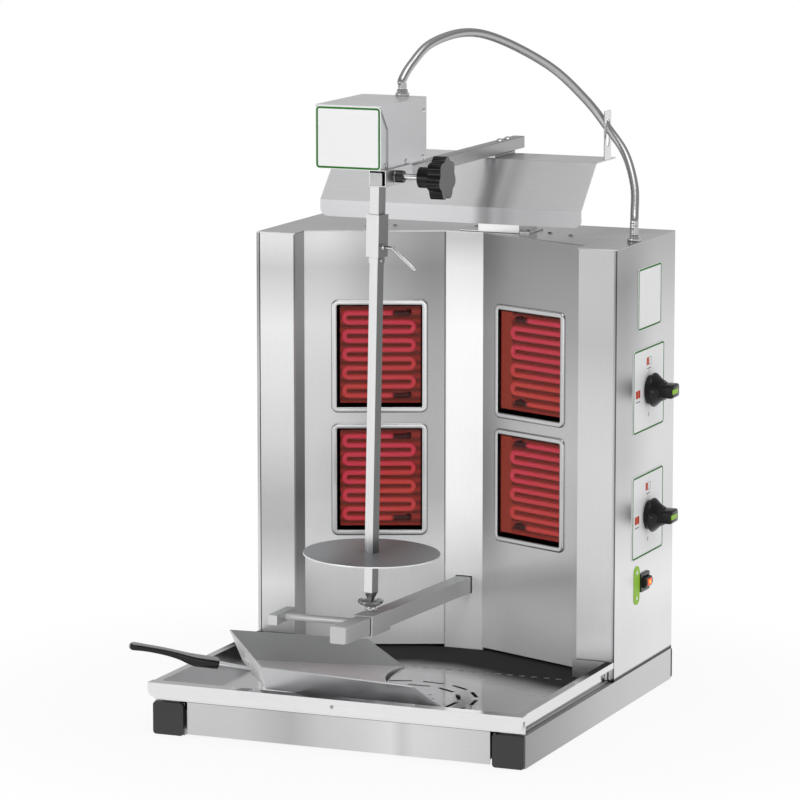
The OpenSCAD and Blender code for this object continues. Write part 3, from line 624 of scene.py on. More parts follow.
# Painted light and shade on the side sheets and the back, darker towards the top.
SIDE_PAINTED_SHADE = Tone(
    near=RAIL_GAP_PAINTED_SHADOW
    + ((44.4, 0.83),)
    + upwards(0.83, 0.87, 0.91, 0.84, 0.74, 0.61, 0.61, 0.45, 0.31, 0.38),
    far=RAIL_GAP_PAINTED_SHADOW
    + ((44.4, 0.89),)
    + upwards(0.89, 0.96, 0.92, 0.78, 0.79, 0.84, 0.8, 0.74, 0.58, 0.51),
    across="Y",
    reach=(70.0, 200.0),
)
# Painted light and shade on the centre strip, darker towards the top.
STRIP_PAINTED_SHADE = Tone(upwards(1.1, 1.1, 1.1, 1.07, 1.04, 0.98, 0.93, 0.88, 0.72, 0.5))
# Painted shade on the rails, darker towards the front.
RAIL_PAINTED_SHADE = Tone(
    ((-330, 0.45), (-250, 0.49), (-130, 0.63), (0, 0.83), (125, 0.93), (280, 0.97)), along="Y"
)
# Painted reflection of the shield's underside: a darker band across the lid.
LID_PAINTED_REFLECTION = Tone(
    ((-240, 1.0), (60, 0.98), (113, 0.72), (160, 0.5), (190, 0.62), (225, 0.95), (240, 1.0)),
    along="X",
)
# Painted highlight and shadow at the side sheet's front edge: a light line, then the dark seam.
SEAM_PAINTED_HIGHLIGHT_AND_SHADOW = Tone(((-241, 1.0), (-230, 1.0), (237.8, 1.1), (238.1, 0.16), (241, 0.16)), along="X")
# Painted shade on the tray's front-facing walls: from 38 mm back as dark as the pillars' feet.
TRAY_WALL_PAINTED_SHADE = Tone(((-320, 1.0), (30, 1.0), (38, 0.66), (50, 0.66)), along="Y")
# Painted reflection on the disc's top: lighter at its left, darkest near the middle.
DISC_PAINTED_REFLECTION = Tone(
    ((-75, 1.3), (-45, 1.15), (-15, 0.75), (5, 0.6), (25, 0.7), (90, 0.95)), along="X"
)
# Painted reflection inside the scoop: darker at the grip's end, lighter at the far end.
SCOOP_PAINTED_REFLECTION = Tone(((-220, 0.75), (-150, 0.8), (-60, 1.0), (20, 1.35), (60, 1.4)), along="X")
SLEEVE_WEAR = Tone(((0, 1.0), (45.3, 1.0), (45.6, 0.1), (60, 0.1)), along="X")
# Painted shade on the shield: a dark dip from 42 to 72 mm where the arm and hose are reflected.
SHIELD_PAINTED_SHADE = Tone(
    ((-170, 1.0), (-40, 1.0), (30, 0.94), (42, 0.52), (50, 0.45))
    + ((60, 0.66), (72, 0.6), (90, 0.78), (170, 0.82)),
    along="X",
)
# Painted reflections along the front bars and the drawer: lighter and darker streaks.
BAR_PAINTED_REFLECTION = Tone(
    ((-200, 0.92), (-120, 0.88), (-60, 0.72), (-20, 0.9), (30, 0.96))
    + ((70, 1.1), (84, 0.9), (100, 1.05), (200, 0.9)),
    along="X",
)
SHEET = RolledSteel("stainless sheet, satin")
LEFT_PILLAR = RolledSteel("stainless left pillar, satin", painted_shade_and_wear=LEFT_PILLAR_PAINTED_SHADE)
RIGHT_PILLAR = RolledSteel("stainless right pillar, satin", painted_shade_and_wear=RIGHT_PILLAR_PAINTED_SHADE)
LEFT_PANEL = RolledSteel(
    "stainless left heater panel, satin",
    "#E6E6E7",
    0.33,
    painted_shade_and_wear=LEFT_PANEL_PAINTED_SHADE,
    dull_foot=FOOT_FADE,
)
RIGHT_PANEL = RolledSteel(
    "stainless right heater panel, satin",
    roughness=0.33,
    painted_shade_and_wear=RIGHT_PANEL_PAINTED_SHADE,
    dull_foot=FOOT_FADE,
)
SIDE_SHEET = RolledSteel(
    "stainless side sheet, satin",
    "#F4F4F5",
    0.36,
    painted_shade_and_wear=SIDE_PAINTED_SHADE,
    # Its front edge: painted highlight and painted shadow of the seam at the pillar.
    sides=(Side(FRONT, "#E6E6E6", painted_shade_and_wear=SEAM_PAINTED_HIGHLIGHT_AND_SHADOW, limits=(0.9, 0.95)),),
)
STRIP_SHEET = RolledSteel(
    "stainless centre strip, satin", "#F4F4F4", 0.38, painted_shade_and_wear=STRIP_PAINTED_SHADE, dull_foot=FOOT_FADE
)
UPPER_ARM = RolledSteel("stainless upper arm, satin", "#A0A0A1", 0.32, grain=Grain.ALONG_Y)
COVER_SHEET = RolledSteel(
    "stainless motor cover, satin",
    "#F8F8F9",
    0.36,
    # Painted shade: faces turned to the sides and to the front darker than the top.
    sides=(
        Side((1.0, 0.0, 0.0), "#CBCBCC"),
        Side((-1.0, 0.0, 0.0), "#CBCBCC"),
        Side(FRONT, "#BCBCBD"),
    ),
)
SLEEVE = RolledSteel(
    "stainless sleeve with a blackened boss", "#BEBEBF", grain=Grain.ALONG_Y, painted_shade_and_wear=SLEEVE_WEAR
)
RAIL = RolledSteel("stainless rail, satin", grain=Grain.ALONG_Y, painted_shade_and_wear=RAIL_PAINTED_SHADE)
TUBE_Y = RolledSteel("stainless tube, drawn along", grain=Grain.ALONG_Y)
ARM_TUBE = RolledSteel(
    "stainless arm, satin, dull on top",
    "#DADADA",
    0.45,
    0.85,
    Grain.ALONG_Y,
    bump=0.004,
    # Its top: dull, with a cyan tint painted against the red glow that it reflects.
    sides=(Side(TOP, "#CED2D3", 0.15, 0.5),),
)
TUBE_Z = RolledSteel(
    "stainless bar, drawn upright",
    "#E6E6E7",
    0.22,
    bump=0.003,
    # Painted shade: the two faces turned to the sides darker, the right one most.
    sides=(
        Side((0.966, -0.26, 0.0), "#90908F", roughness=0.3),
        Side((-0.966, 0.26, 0.0), "#A8A8A8", roughness=0.3),
    ),
)
FRONT_SHEET = RolledSteel(
    "stainless front sheet, satin", "#D2D2D2", 0.36, grain=Grain.ALONG_X, painted_shade_and_wear=BAR_PAINTED_REFLECTION
)
DISC_SHEET = RolledSteel(
    "stainless disc, satin, dull on top, painted reflection",
    "#F0F0F1",
    0.3,
    0.9,
    Grain.CROSSED,
    bump=0.003,
    # Its top: dull, with a painted reflection and a cyan tint painted against the red glow it
    # reflects.
    sides=(Side(TOP, "#949899", 0.15, 0.45, DISC_PAINTED_REFLECTION),),
)
SHIELD_SHEET = RolledSteel(
    "stainless shield, satin",
    "#F8F8F9",
    0.32,
    grain=Grain.ALONG_X,
    bump=0.003,
    painted_shade_and_wear=SHIELD_PAINTED_SHADE,
    # Its lower lip: painted shade, darker than the slanted face.
    sides=(Side(FRONT, "#BABABB", limits=(0.95, 0.98)),),
)
LID_SHEET = RolledSteel(
    "stainless lid, bright", "#A2A2A3", 0.2, grain=Grain.ALONG_X, painted_shade_and_wear=LID_PAINTED_REFLECTION
)
SCOOP_SHEET = RolledSteel(
    "stainless scoop, satin, dull inside",
    "#F4F4F5",
    0.42,
    0.9,
    Grain.ALONG_X,
    bump=0.003,
    # Painted light and shade by face: the inside darker with a painted reflection, the faces that
    # look down a little darker, the outside of the left end painted white.
    sides=(
        Side((0.57, -0.46, 0.68), "#B2B4B4", 0.3, 0.45, SCOOP_PAINTED_REFLECTION, (0.8, 0.9)),
        Side((0.45, -0.65, -0.61), "#D4D4D5", 0.9, 0.42, limits=(0.75, 0.9)),
        Side((-0.79, -0.55, -0.27), "#FFFFFF", 0.1, 0.4, limits=(0.85, 0.95)),
    ),
)
TRAY = TrayFloorWithPaintedShade(
    "tray steel, mirror polished",
    "#E4E4E5",
    0.10,
    grain=Grain.ALONG_X,
    spread=0.03,
    bump=0.002,
    # Its front-facing walls: rougher, with painted shade from 38 mm back.
    sides=(Side(FRONT, "#FFFFFF", roughness=0.3, painted_shade_and_wear=TRAY_WALL_PAINTED_SHADE, limits=(0.9, 0.95)),),
)
FRAME_STEEL = RolledSteel(
    "pressed steel frame, satin", "#C8C8C9", 0.24, grain=Grain.ALONG_X, bump=0.003
)
TURNED = RolledSteel("turned steel, chromed", "#D6D6D6", 0.12, spread=0.03, bump=0.004)
HOSE_STEEL = RolledSteel(
    "stainless hose, ribbed", "#B4B4B5", 0.16, grain=Grain.CROSSED, shade=0.03, bump=0.001
)
# Painted shadow: the cabinet floor is black so that its edge shows as the dark gap above the rail.
CABINET_FLOOR_SHADOW = MouldedPlastic("cabinet floor, black painted shadow", "#0B0B0C", 0.5)
CAST = RolledSteel("cast aluminium", "#8E8E90", 0.5, grain=Grain.CROSSED, bump=0.3)
CAP_PLASTIC = MouldedPlastic("polyethylene cap, black", "#2E2E2F", 0.5)
KNOB_PLASTIC = MouldedPlastic("phenolic knob, black", "#08080A", 0.22, bump=0.02, ior=1.38)
CLAMP_PLASTIC = ClampKnobPlastic(
    "phenolic star knob, black", "#040405", 0.16, bump=0.02, ior=1.34
)
GRIP_PLASTIC = MouldedPlastic("nylon grip, black", "#060607", 0.22, ior=1.42)
# Painted sheen: the grip's upward faces grey.
GRIP_TOP_PAINTED_SHEEN = MouldedPlastic("nylon grip, painted grey sheen on top", "#8E8E8F", 0.35, grit_mm=1.5)
# Painted shade: the window frames' inner walls black.
FRAME_WALL_SHADE = MouldedPlastic("frame inner wall, black painted shade", "#050505", 0.6, ior=1.2)
SWITCH_PLASTIC = MouldedPlastic("nylon switch housing, black", "#111112", 0.35)
LIGHT_CAP = MouldedPlastic("polyethylene cap, natural", "#C9C9C9", 0.5)
WHITE_FILM = PrintedFilm("printed film, white", "#F6F6F7", 0.35)
GREEN_FILM = PrintedFilm("printed film, leaf green", "#2C7326", 0.5)
LIME_FILM = PrintedFilm("printed film, lime", "#9ACB3A", 0.4)
RED_FILM = PrintedFilm("printed film, red", "#C8431C", 0.4)
GREY_FILM = PrintedFilm("printed film, grey", "#6A6A6A", 0.4)
LENS = PrintedFilm("lit lens, orange", "#E2521E", 0.2, glow=0.55)
LENS_CORE = PrintedFilm("lit lens, lamp in the middle", "#F6C21C", 0.2, glow=0.9)
GLASS = HeaterGlass("ceramic glass", "#FFF2F0", 0.02)
ROD = GlowingRod("heating rod, red hot", "#140808", 0.6)
LINING = HeaterLining("heater box, black enamel", "#0A0505", 0.6)


# ---------------------------------------------------------------- mesh tools
def turned(profile: Sequence[Span], steps: int = 64) -> BMesh:
    """Turns a profile about the X axis.

    Args:
        profile: Pairs of radius and distance along X in millimetres, from end to end.
        steps: Steps of the turn.

    Returns:
        The closed turned mesh.
    """
    bm = bmesh.new()
    verts = [bm.verts.new((x * MM, 0.0, r * MM)) for r, x in profile]
    edges = [bm.edges.new(pair) for pair in zip(verts, verts[1:])]
    about = {"cent": (0, 0, 0), "axis": (1, 0, 0), "angle": math.tau}
    bmesh.ops.spin(bm, geom=verts + edges, steps=steps, use_merge=True, **about)
    bmesh.ops.remove_doubles(bm, verts=bm.verts, dist=MERGE_DISTANCE)
    return bm


def round_off(bm: BMesh, what: str, geom: Any, radius: float, segments: int) -> None:
    """Rounds off edges or corners.

    Args:
        bm: The mesh.
        what: EDGES or VERTICES.
        geom: The edges or corners.
        radius: Radius of the round in metres.
        segments: Steps of the round.
    """
    shape = {"offset_type": "OFFSET", "profile": 0.5, "material": -1}
    bmesh.ops.bevel(bm, geom=geom, offset=radius, affect=what, segments=segments, **shape)


def block(size: Point, centre: Point, radius: float, segments: int = 3) -> BMesh:
    """Makes a block with rounded edges, all its measures in millimetres.

    Args:
        size: Its length along X, Y and Z.
        centre: Its middle.
        radius: Radius of its edges.
        segments: Steps of each rounded edge.

    Returns:
        The block's mesh.
    """
    bm = bmesh.new()
    bmesh.ops.create_cube(bm, size=1.0)
    bmesh.ops.scale(bm, vec=[v * MM for v in size], verts=bm.verts)
    round_off(bm, "EDGES", bm.edges, radius * MM, segments)
    bmesh.ops.translate(bm, vec=[v * MM for v in centre], verts=bm.verts)
    return bm


def rounded_sheet(width: float, height: float, radius: float) -> BMesh:
    """Makes a flat sheet with rounded corners in the YZ plane, facing +X."""
    bm = bmesh.new()
    bmesh.ops.create_grid(bm, x_segments=1, y_segments=1, size=0.5)
    bmesh.ops.scale(bm, vec=(width, height, 1), verts=bm.verts)
    round_off(bm, "VERTICES", bm.verts, radius, 6)
    return moved(bm, Matrix(((0, 0, 1), (1, 0, 0), (0, 1, 0))).to_4x4())


def outline(width: float, height: float, radius: float, line: float) -> BMesh:
    """Makes a flat outline with rounded corners in the YZ plane.

    Args:
        width: Its width along Y.
        height: Its height.
        radius: Radius of its corners.
        line: Width of the line itself.

    Returns:
        The outline's mesh.
    """
    bm = rounded_sheet(width, height, radius)
    inset = {"thickness": line, "use_boundary": True, "use_even_offset": True}
    ring = set(bmesh.ops.inset_region(bm, faces=bm.faces[:], **inset)["faces"])
    bmesh.ops.delete(bm, geom=[f for f in bm.faces if f not in ring], context="FACES")
    return bm


def thicken(bm: BMesh, thickness: float) -> None:
    """Gives a flat YZ sheet its thickness towards +X."""
    made = bmesh.ops.extrude_face_region(bm, geom=bm.faces[:])["geom"]
    verts = [g for g in made if isinstance(g, bmesh.types.BMVert)]
    bmesh.ops.translate(bm, vec=(thickness, 0, 0), verts=verts)


def merge(parts: Iterable[BMesh]) -> BMesh:
    """Joins several meshes into the first of them, keeping their material numbers."""
    total = bmesh.new()
    for part in parts:
        mesh = bpy.data.meshes.new("part")
        part.to_mesh(mesh)
        part.free()
        total.from_mesh(mesh)
        bpy.data.meshes.remove(mesh)
    return total


def paint(bm: BMesh, index: int) -> BMesh:
    """Gives every face of a mesh one material number and returns the mesh."""
    for face in bm.faces:
        face.material_index = index
    return bm


def moved(bm: BMesh, matrix: Matrix) -> BMesh:
    """Moves a mesh by a matrix and returns it."""
    bmesh.ops.transform(bm, matrix=matrix, verts=bm.verts)
    return bm


def rotation(degrees: float, axis: str) -> Matrix:
    """Returns a turn about the X, Y or Z axis."""
    return Matrix.Rotation(math.radians(degrees), 4, axis)


def swept(rings: int, sides: int, place: Callable[[float, float], Vector]) -> BMesh:
    """Rolls a grid into a closed tube.

    Args:
        rings: Steps along the tube.
        sides: Sides round it.
        place: Gives the point at a share of the length and a share of the turn.

    Returns:
        The tube with closed ends.
    """
    bm = bmesh.new()
    bmesh.ops.create_grid(bm, x_segments=sides, y_segments=rings, size=0.5)
    for vert in bm.verts:
        vert.co = place(vert.co.y + 0.5, vert.co.x + 0.5)
    bmesh.ops.remove_doubles(bm, verts=bm.verts, dist=MERGE_DISTANCE)
    loose = [e for e in bm.edges if len(e.link_faces) == 1]
    bmesh.ops.holes_fill(bm, edges=loose, sides=sides + 2)
    return bm


@dataclass
class Route:
    """A smooth curve through given points, measured along its length."""

    points: Sequence[Point]
    steps: int = 12
    reach: float = 0.003

    def __post_init__(self) -> None:
        """Samples the curve and its running length."""
        pts = [Vector(p) for p in self.points]
        line: list[Vector] = []
        for i in range(len(pts) - 1):
            a, b, c, d = pts[max(i - 1, 0)], pts[i], pts[i + 1], pts[min(i + 2, len(pts) - 1)]
            for k in range(self.steps):
                t = k / self.steps
                second, third = 2 * a - 5 * b + 4 * c - d, 3 * b - a - 3 * c + d
                line.append(0.5 * (2 * b + (c - a) * t + second * t * t + third * t**3))
        line.append(pts[-1])
        self.line = line
        self.run = [0.0]
        for a, b in zip(line, line[1:]):
            self.run.append(self.run[-1] + (b - a).length)
        self.length = self.run[-1]

    def at(self, distance: float) -> Vector:
        """Returns the point at a distance along the curve."""
        distance = min(max(distance, 0.0), self.length)
        low, high = 0, len(self.run) - 1
        while high - low > 1:
            mid = (low + high) // 2
            if self.run[mid] <= distance:
                low = mid
            else:
                high = mid
        share = (distance - self.run[low]) / max(self.run[high] - self.run[low], 1e-9)
        return self.line[low].lerp(self.line[high], share)

    def frame(self, distance: float, reference: Vector) -> tuple[Vector, Vector]:
        """Returns two directions square to the curve at a distance along it."""
        ends = self.at(distance + self.reach), self.at(distance - self.reach)
        along = (ends[0] - ends[1]).normalized()
        first = along.cross(reference).cross(along).normalized()
        return first, along.cross(first)


# ---------------------------------------------------------------- sub-assemblies
@dataclass
class Assembly:
    """A group of pieces that share one workshop of finishes."""

    shop: Workshop
    nodes: dict[str, bpy.types.Object]

    def dress(self, finish: Finish, *names: str, edge_mm: float = 0.0, steps: int = 2) -> None:
        """Gives CAD nodes a finish, and their edges a small round.

        Args:
            finish: The finish to use.
            names: The nodes to dress.
            edge_mm: Radius of the rounded edges, 0 for none.
            steps: Steps of the rounded edges.
        """
        for name in names:
            node = self.nodes[name]
            node.data.materials.clear()
            node.data.materials.append(self.shop.get(finish))
            if edge_mm:
                weld = node.modifiers.new("weld", "WELD")
                weld.merge_threshold = MERGE_DISTANCE
                bevel = node.modifiers.new("edges", "BEVEL")
                bevel.width = edge_mm * MM
                bevel.segments = steps
                bevel.limit_method = "ANGLE"
                bevel.angle_limit = SHARP_ANGLE
            LOG.info("%s dressed as %s", name, finish.name)

    def publish(
        self,
        bm: BMesh,
        name: str,
        body: str | None,
        slot: str,
        finishes: Sequence[Finish],
        smooth_angle: float | None = 40.0,
    ) -> bpy.types.Object:
        """Turns a bmesh into a piece that rides on a body.

        Args:
            bm: The mesh, already in its place in metres; it is freed.
            name: The piece's name.
            body: The CAD body that carries it, None for a piece on no body.
            slot: The name of a material slot; not used.
            finishes: The piece's finishes in slot order.
            smooth_angle: Faces meeting below this many degrees shade smoothly, None for flat.

        Returns:
            The new object.
        """
        bmesh.ops.recalc_face_normals(bm, faces=bm.faces)
        if smooth_angle is not None:
            limit = math.radians(smooth_angle)
            for face in bm.faces:
                face.smooth = True
            for edge in bm.edges:
                edge.smooth = len(edge.link_faces) != 2 or edge.calc_face_angle(0.0) < limit
        mesh = bpy.data.meshes.new(name)
        bm.to_mesh(mesh)
        bm.free()
        piece = bpy.data.objects.new(name, mesh)
        bpy.context.scene.collection.objects.link(piece)
        for finish in finishes:
            mesh.materials.append(self.shop.get(finish))
        if body is not None:
            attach(piece, body)
        LOG.info("%s: %d faces on %s", name, len(mesh.polygons), body or "two bodies")
        return piece


@dataclass
class Cabinet(Assembly):
    """The heated cabinet: sheets, glass windows, rods and lid."""

    # The windows' middles: two heights, and how far along the panel.
    windows: Span = (259.2 * MM, 416.7 * MM)
    window_along: float = 82.0 * MM
    # Width, height, radius of the corners and width of the frame's sheet.
    frame_shape: tuple[float, float, float, float] = (122.0 * MM, 144.5 * MM, 9 * MM, 7.7 * MM)
    frame_depth: float = 2.5 * MM
    frame_round: float = 2.3 * MM
    # Half width and half height of the frame's inner wall, which is black as painted shade.
    shaded_wall: Span = (55.3 * MM, 66.5 * MM)
    # Foot of the right slanted panel, and its run along X and Y.
    panel_foot: Span = (26.0 * MM, 146.0 * MM)
    panel_run: Span = (162.0, -70.0)

    def build(self) -> None:
        """Dresses every cabinet piece."""
        self.dress(LEFT_PILLAR, "pillar_left")
        self.dress(RIGHT_PILLAR, "pillar_right")
        self.dress(LEFT_PANEL, "heater_panel_left")
        self.dress(RIGHT_PANEL, "heater_panel_right")
        self.dress(STRIP_SHEET, "centre_strip")
        self.dress(SIDE_SHEET, "cabinet_side_left", "cabinet_side_right", "cabinet_back")
        self.dress(LID_SHEET, "lid")
        # Painted shadow: the black floor's edge is the dark gap above the rail.
        self.dress(CABINET_FLOOR_SHADOW, "cabinet_floor")
        self.dress(TURNED, "lid_screws")
        self.frames()
        self.dress(GLASS, "glass_panes")
        self.dress(ROD, "heating_elements")
        self.dress(LINING, "heater_boxes")
        self.dress(LIGHT_CAP, "terminal_block")
        self.dress(SWITCH_PLASTIC, "rotary_switches", "cable_gland", "rocker_frame", edge_mm=0.5)

    def pressed_frame(self) -> BMesh:
        """Makes one window frame in the YZ plane, facing +X, rounded all along on its outside."""
        ring = outline(*self.frame_shape)
        thicken(ring, self.frame_depth)
        bmesh.ops.recalc_face_normals(ring, faces=ring.faces)
        rim = [
            edge
            for edge in ring.edges
            if len(edge.link_faces) == 2
            and edge.calc_face_angle(0.0) > 1.0
            and all(vert.co.x > self.frame_depth - 0.1 * MM for vert in edge.verts)
        ]
        round_off(ring, "EDGES", rim, self.frame_round, 6)
        # Faces of the inner wall take the black second finish: painted shade.
        for face in ring.faces:
            middle = face.calc_center_median()
            inside = abs(middle.y) < self.shaded_wall[0] and abs(middle.z) < self.shaded_wall[1]
            face.material_index = int(inside and abs(face.normal.x) < 0.72)
        return ring

    def frames(self) -> None:
        """Makes the four pressed window frames."""
        along, back = self.panel_run
        panel = rotation(math.degrees(math.atan2(back, along)), "Z")
        parts = []
        for z in self.windows:
            seat = Matrix.Translation((self.window_along, 0, z)) @ rotation(-90, "Z")
            lay = Matrix.Translation((*self.panel_foot, 0)) @ panel
            right = moved(self.pressed_frame(), lay @ seat)
            left = right.copy()
            bmesh.ops.scale(left, vec=(-1, 1, 1), verts=left.verts)
            parts += [right, left]
        finishes = [FRAME_STEEL, FRAME_WALL_SHADE]
        frames = self.publish(
            merge(parts), "window_frames", "frame", "polished_steel", finishes, 50
        )
        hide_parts("window_bezels")


@dataclass
class Base(Assembly):
    """The rails, their caps, the tray and the drawer."""

    def build(self) -> None:
        """Dresses the base."""
        self.dress(RAIL, "base_rail_left", "base_rail_right", edge_mm=0.6)
        self.dress(TUBE_Y, "tray_rests", "drawer_runners", edge_mm=0.6)
        self.dress(FRONT_SHEET, "base_crossbars", "grease_drawer")
        self.dress(CAP_PLASTIC, "rail_end_caps", edge_mm=1.2, steps=3)
        self.dress(TRAY, "drip_tray", edge_mm=0.5)


@dataclass
class Arms(Assembly):
    """The two arms, the shield and what holds it."""

    def build(self) -> None:
        """Dresses the arms and the shield."""
        self.dress(ARM_TUBE, "lower_arm", edge_mm=0.7)
        self.dress(UPPER_ARM, "upper_arm", "arm_seat", edge_mm=0.7)
        self.dress(LIGHT_CAP, "arm_caps", edge_mm=0.5)
        self.dress(TURNED, "arm_screws")
        self.dress(SHIELD_SHEET, "shield", edge_mm=0.4)
        self.dress(SHEET, "shield_support", edge_mm=0.4)


@dataclass
class Hose(Assembly):
    """The ribbed metal hose from the motor box down to the lid."""

    diameter: float = 10.8 * MM
    pitch: float = 2.0 * MM
    depth: float = 0.12 * MM
    # Power of the ribs' sine wave: less than 1 gives round crests and narrow grooves.
    crest: float = 0.6
    route: Sequence[Point] = (
        (0.014, -0.089, 0.7745),
        (0.014, -0.089, 0.780),
        (0.014, -0.089, 0.786),
        (0.019, -0.071, 0.804),
        (0.030, -0.037, 0.826),
        (0.051, 0.021, 0.8355),
        (0.0755, 0.0775, 0.823),
        (0.115, 0.145, 0.786),
        (0.1485, 0.1795, 0.744),
        (0.1732, 0.192, 0.709),
        (0.198, 0.189, 0.677),
        (0.218, 0.167, 0.640),
        (0.229, 0.1375, 0.608),
        (0.230, 0.134, 0.596),
        (0.230, 0.134, 0.590),
        (0.230, 0.134, 0.584),
    )

    def build(self) -> None:
        """Makes the hose and dresses its fittings."""
        line = Route(self.route)
        count = round(line.length / self.pitch)
        reference = Vector((0.9, -0.42, 0))

        def place(share: float, turn: float) -> Vector:
            """Returns the point of the hose at a share of its length and of a turn."""
            first, second = line.frame(share * line.length, reference)
            wave = abs(math.sin(share * count * math.pi)) ** self.crest
            radius = self.diameter / 2 - self.depth * (1 - wave)
            angle = turn * math.tau
            across = math.cos(angle) * first + math.sin(angle) * second
            return line.at(share * line.length) + radius * across

        tube = swept(count * 4, 24, place)
        hose = self.publish(tube, "metal_hose", None, "metal_hose", [HOSE_STEEL], 60)
        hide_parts("conduit")
        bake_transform(hose)
        self.dress(HOSE_STEEL, "hose_fitting_top", "hose_fitting_lid", edge_mm=0.6)


@dataclass
class Carriage(Assembly):
    """The motor box on the upper arm, its clamp and the drive below it."""

    border: float = 2.3 * MM

    def build(self) -> None:
        """Dresses the carriage and prints the border of its front plate."""
        self.dress(COVER_SHEET, "motor_body", "motor_cover")
        self.dress(SLEEVE, "carriage_sleeve", edge_mm=0.4)
        self.dress(CAST, "gearmotor")
        self.dress(TURNED, "cover_screws", "lock_lever")
        self.dress(WHITE_FILM, "front_plate", edge_mm=0.4)
        self.dress(TUBE_Z, "drive_shaft", "spit_chuck", edge_mm=0.5)
        self.dress(CLAMP_PLASTIC, "clamp_knob", edge_mm=1.6, steps=4)
        self.front_border()

    def front_border(self) -> None:
        """Prints the green border round the front plate of the motor box."""
        low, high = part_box("front_plate")
        width, height = high[0] - low[0], high[2] - low[2]
        bm = outline(width - 1.6 * MM, height - 1.6 * MM, 4 * MM, self.border)
        thicken(bm, 0.12 * MM)
        middle = Matrix.Translation(((low[0] + high[0]) / 2, low[1], (low[2] + high[2]) / 2))
        bm = moved(bm, middle @ rotation(-90, "Z"))
        self.publish(bm, "front_plate_border", "carriage", "green_film", [GREEN_FILM], None)


@dataclass
class Spit(Assembly):
    """The lower slider with its cup, the spit bar and the disc."""

    def build(self) -> None:
        """Dresses the spit and the slider."""
        self.dress(ARM_TUBE, "slider_sleeve", "slider_handle", edge_mm=0.5)
        self.dress(TURNED, "pivot_cup")
        self.dress(TUBE_Z, "spit_bar", edge_mm=0.4)
        self.dress(DISC_SHEET, "meat_disc", edge_mm=0.4)


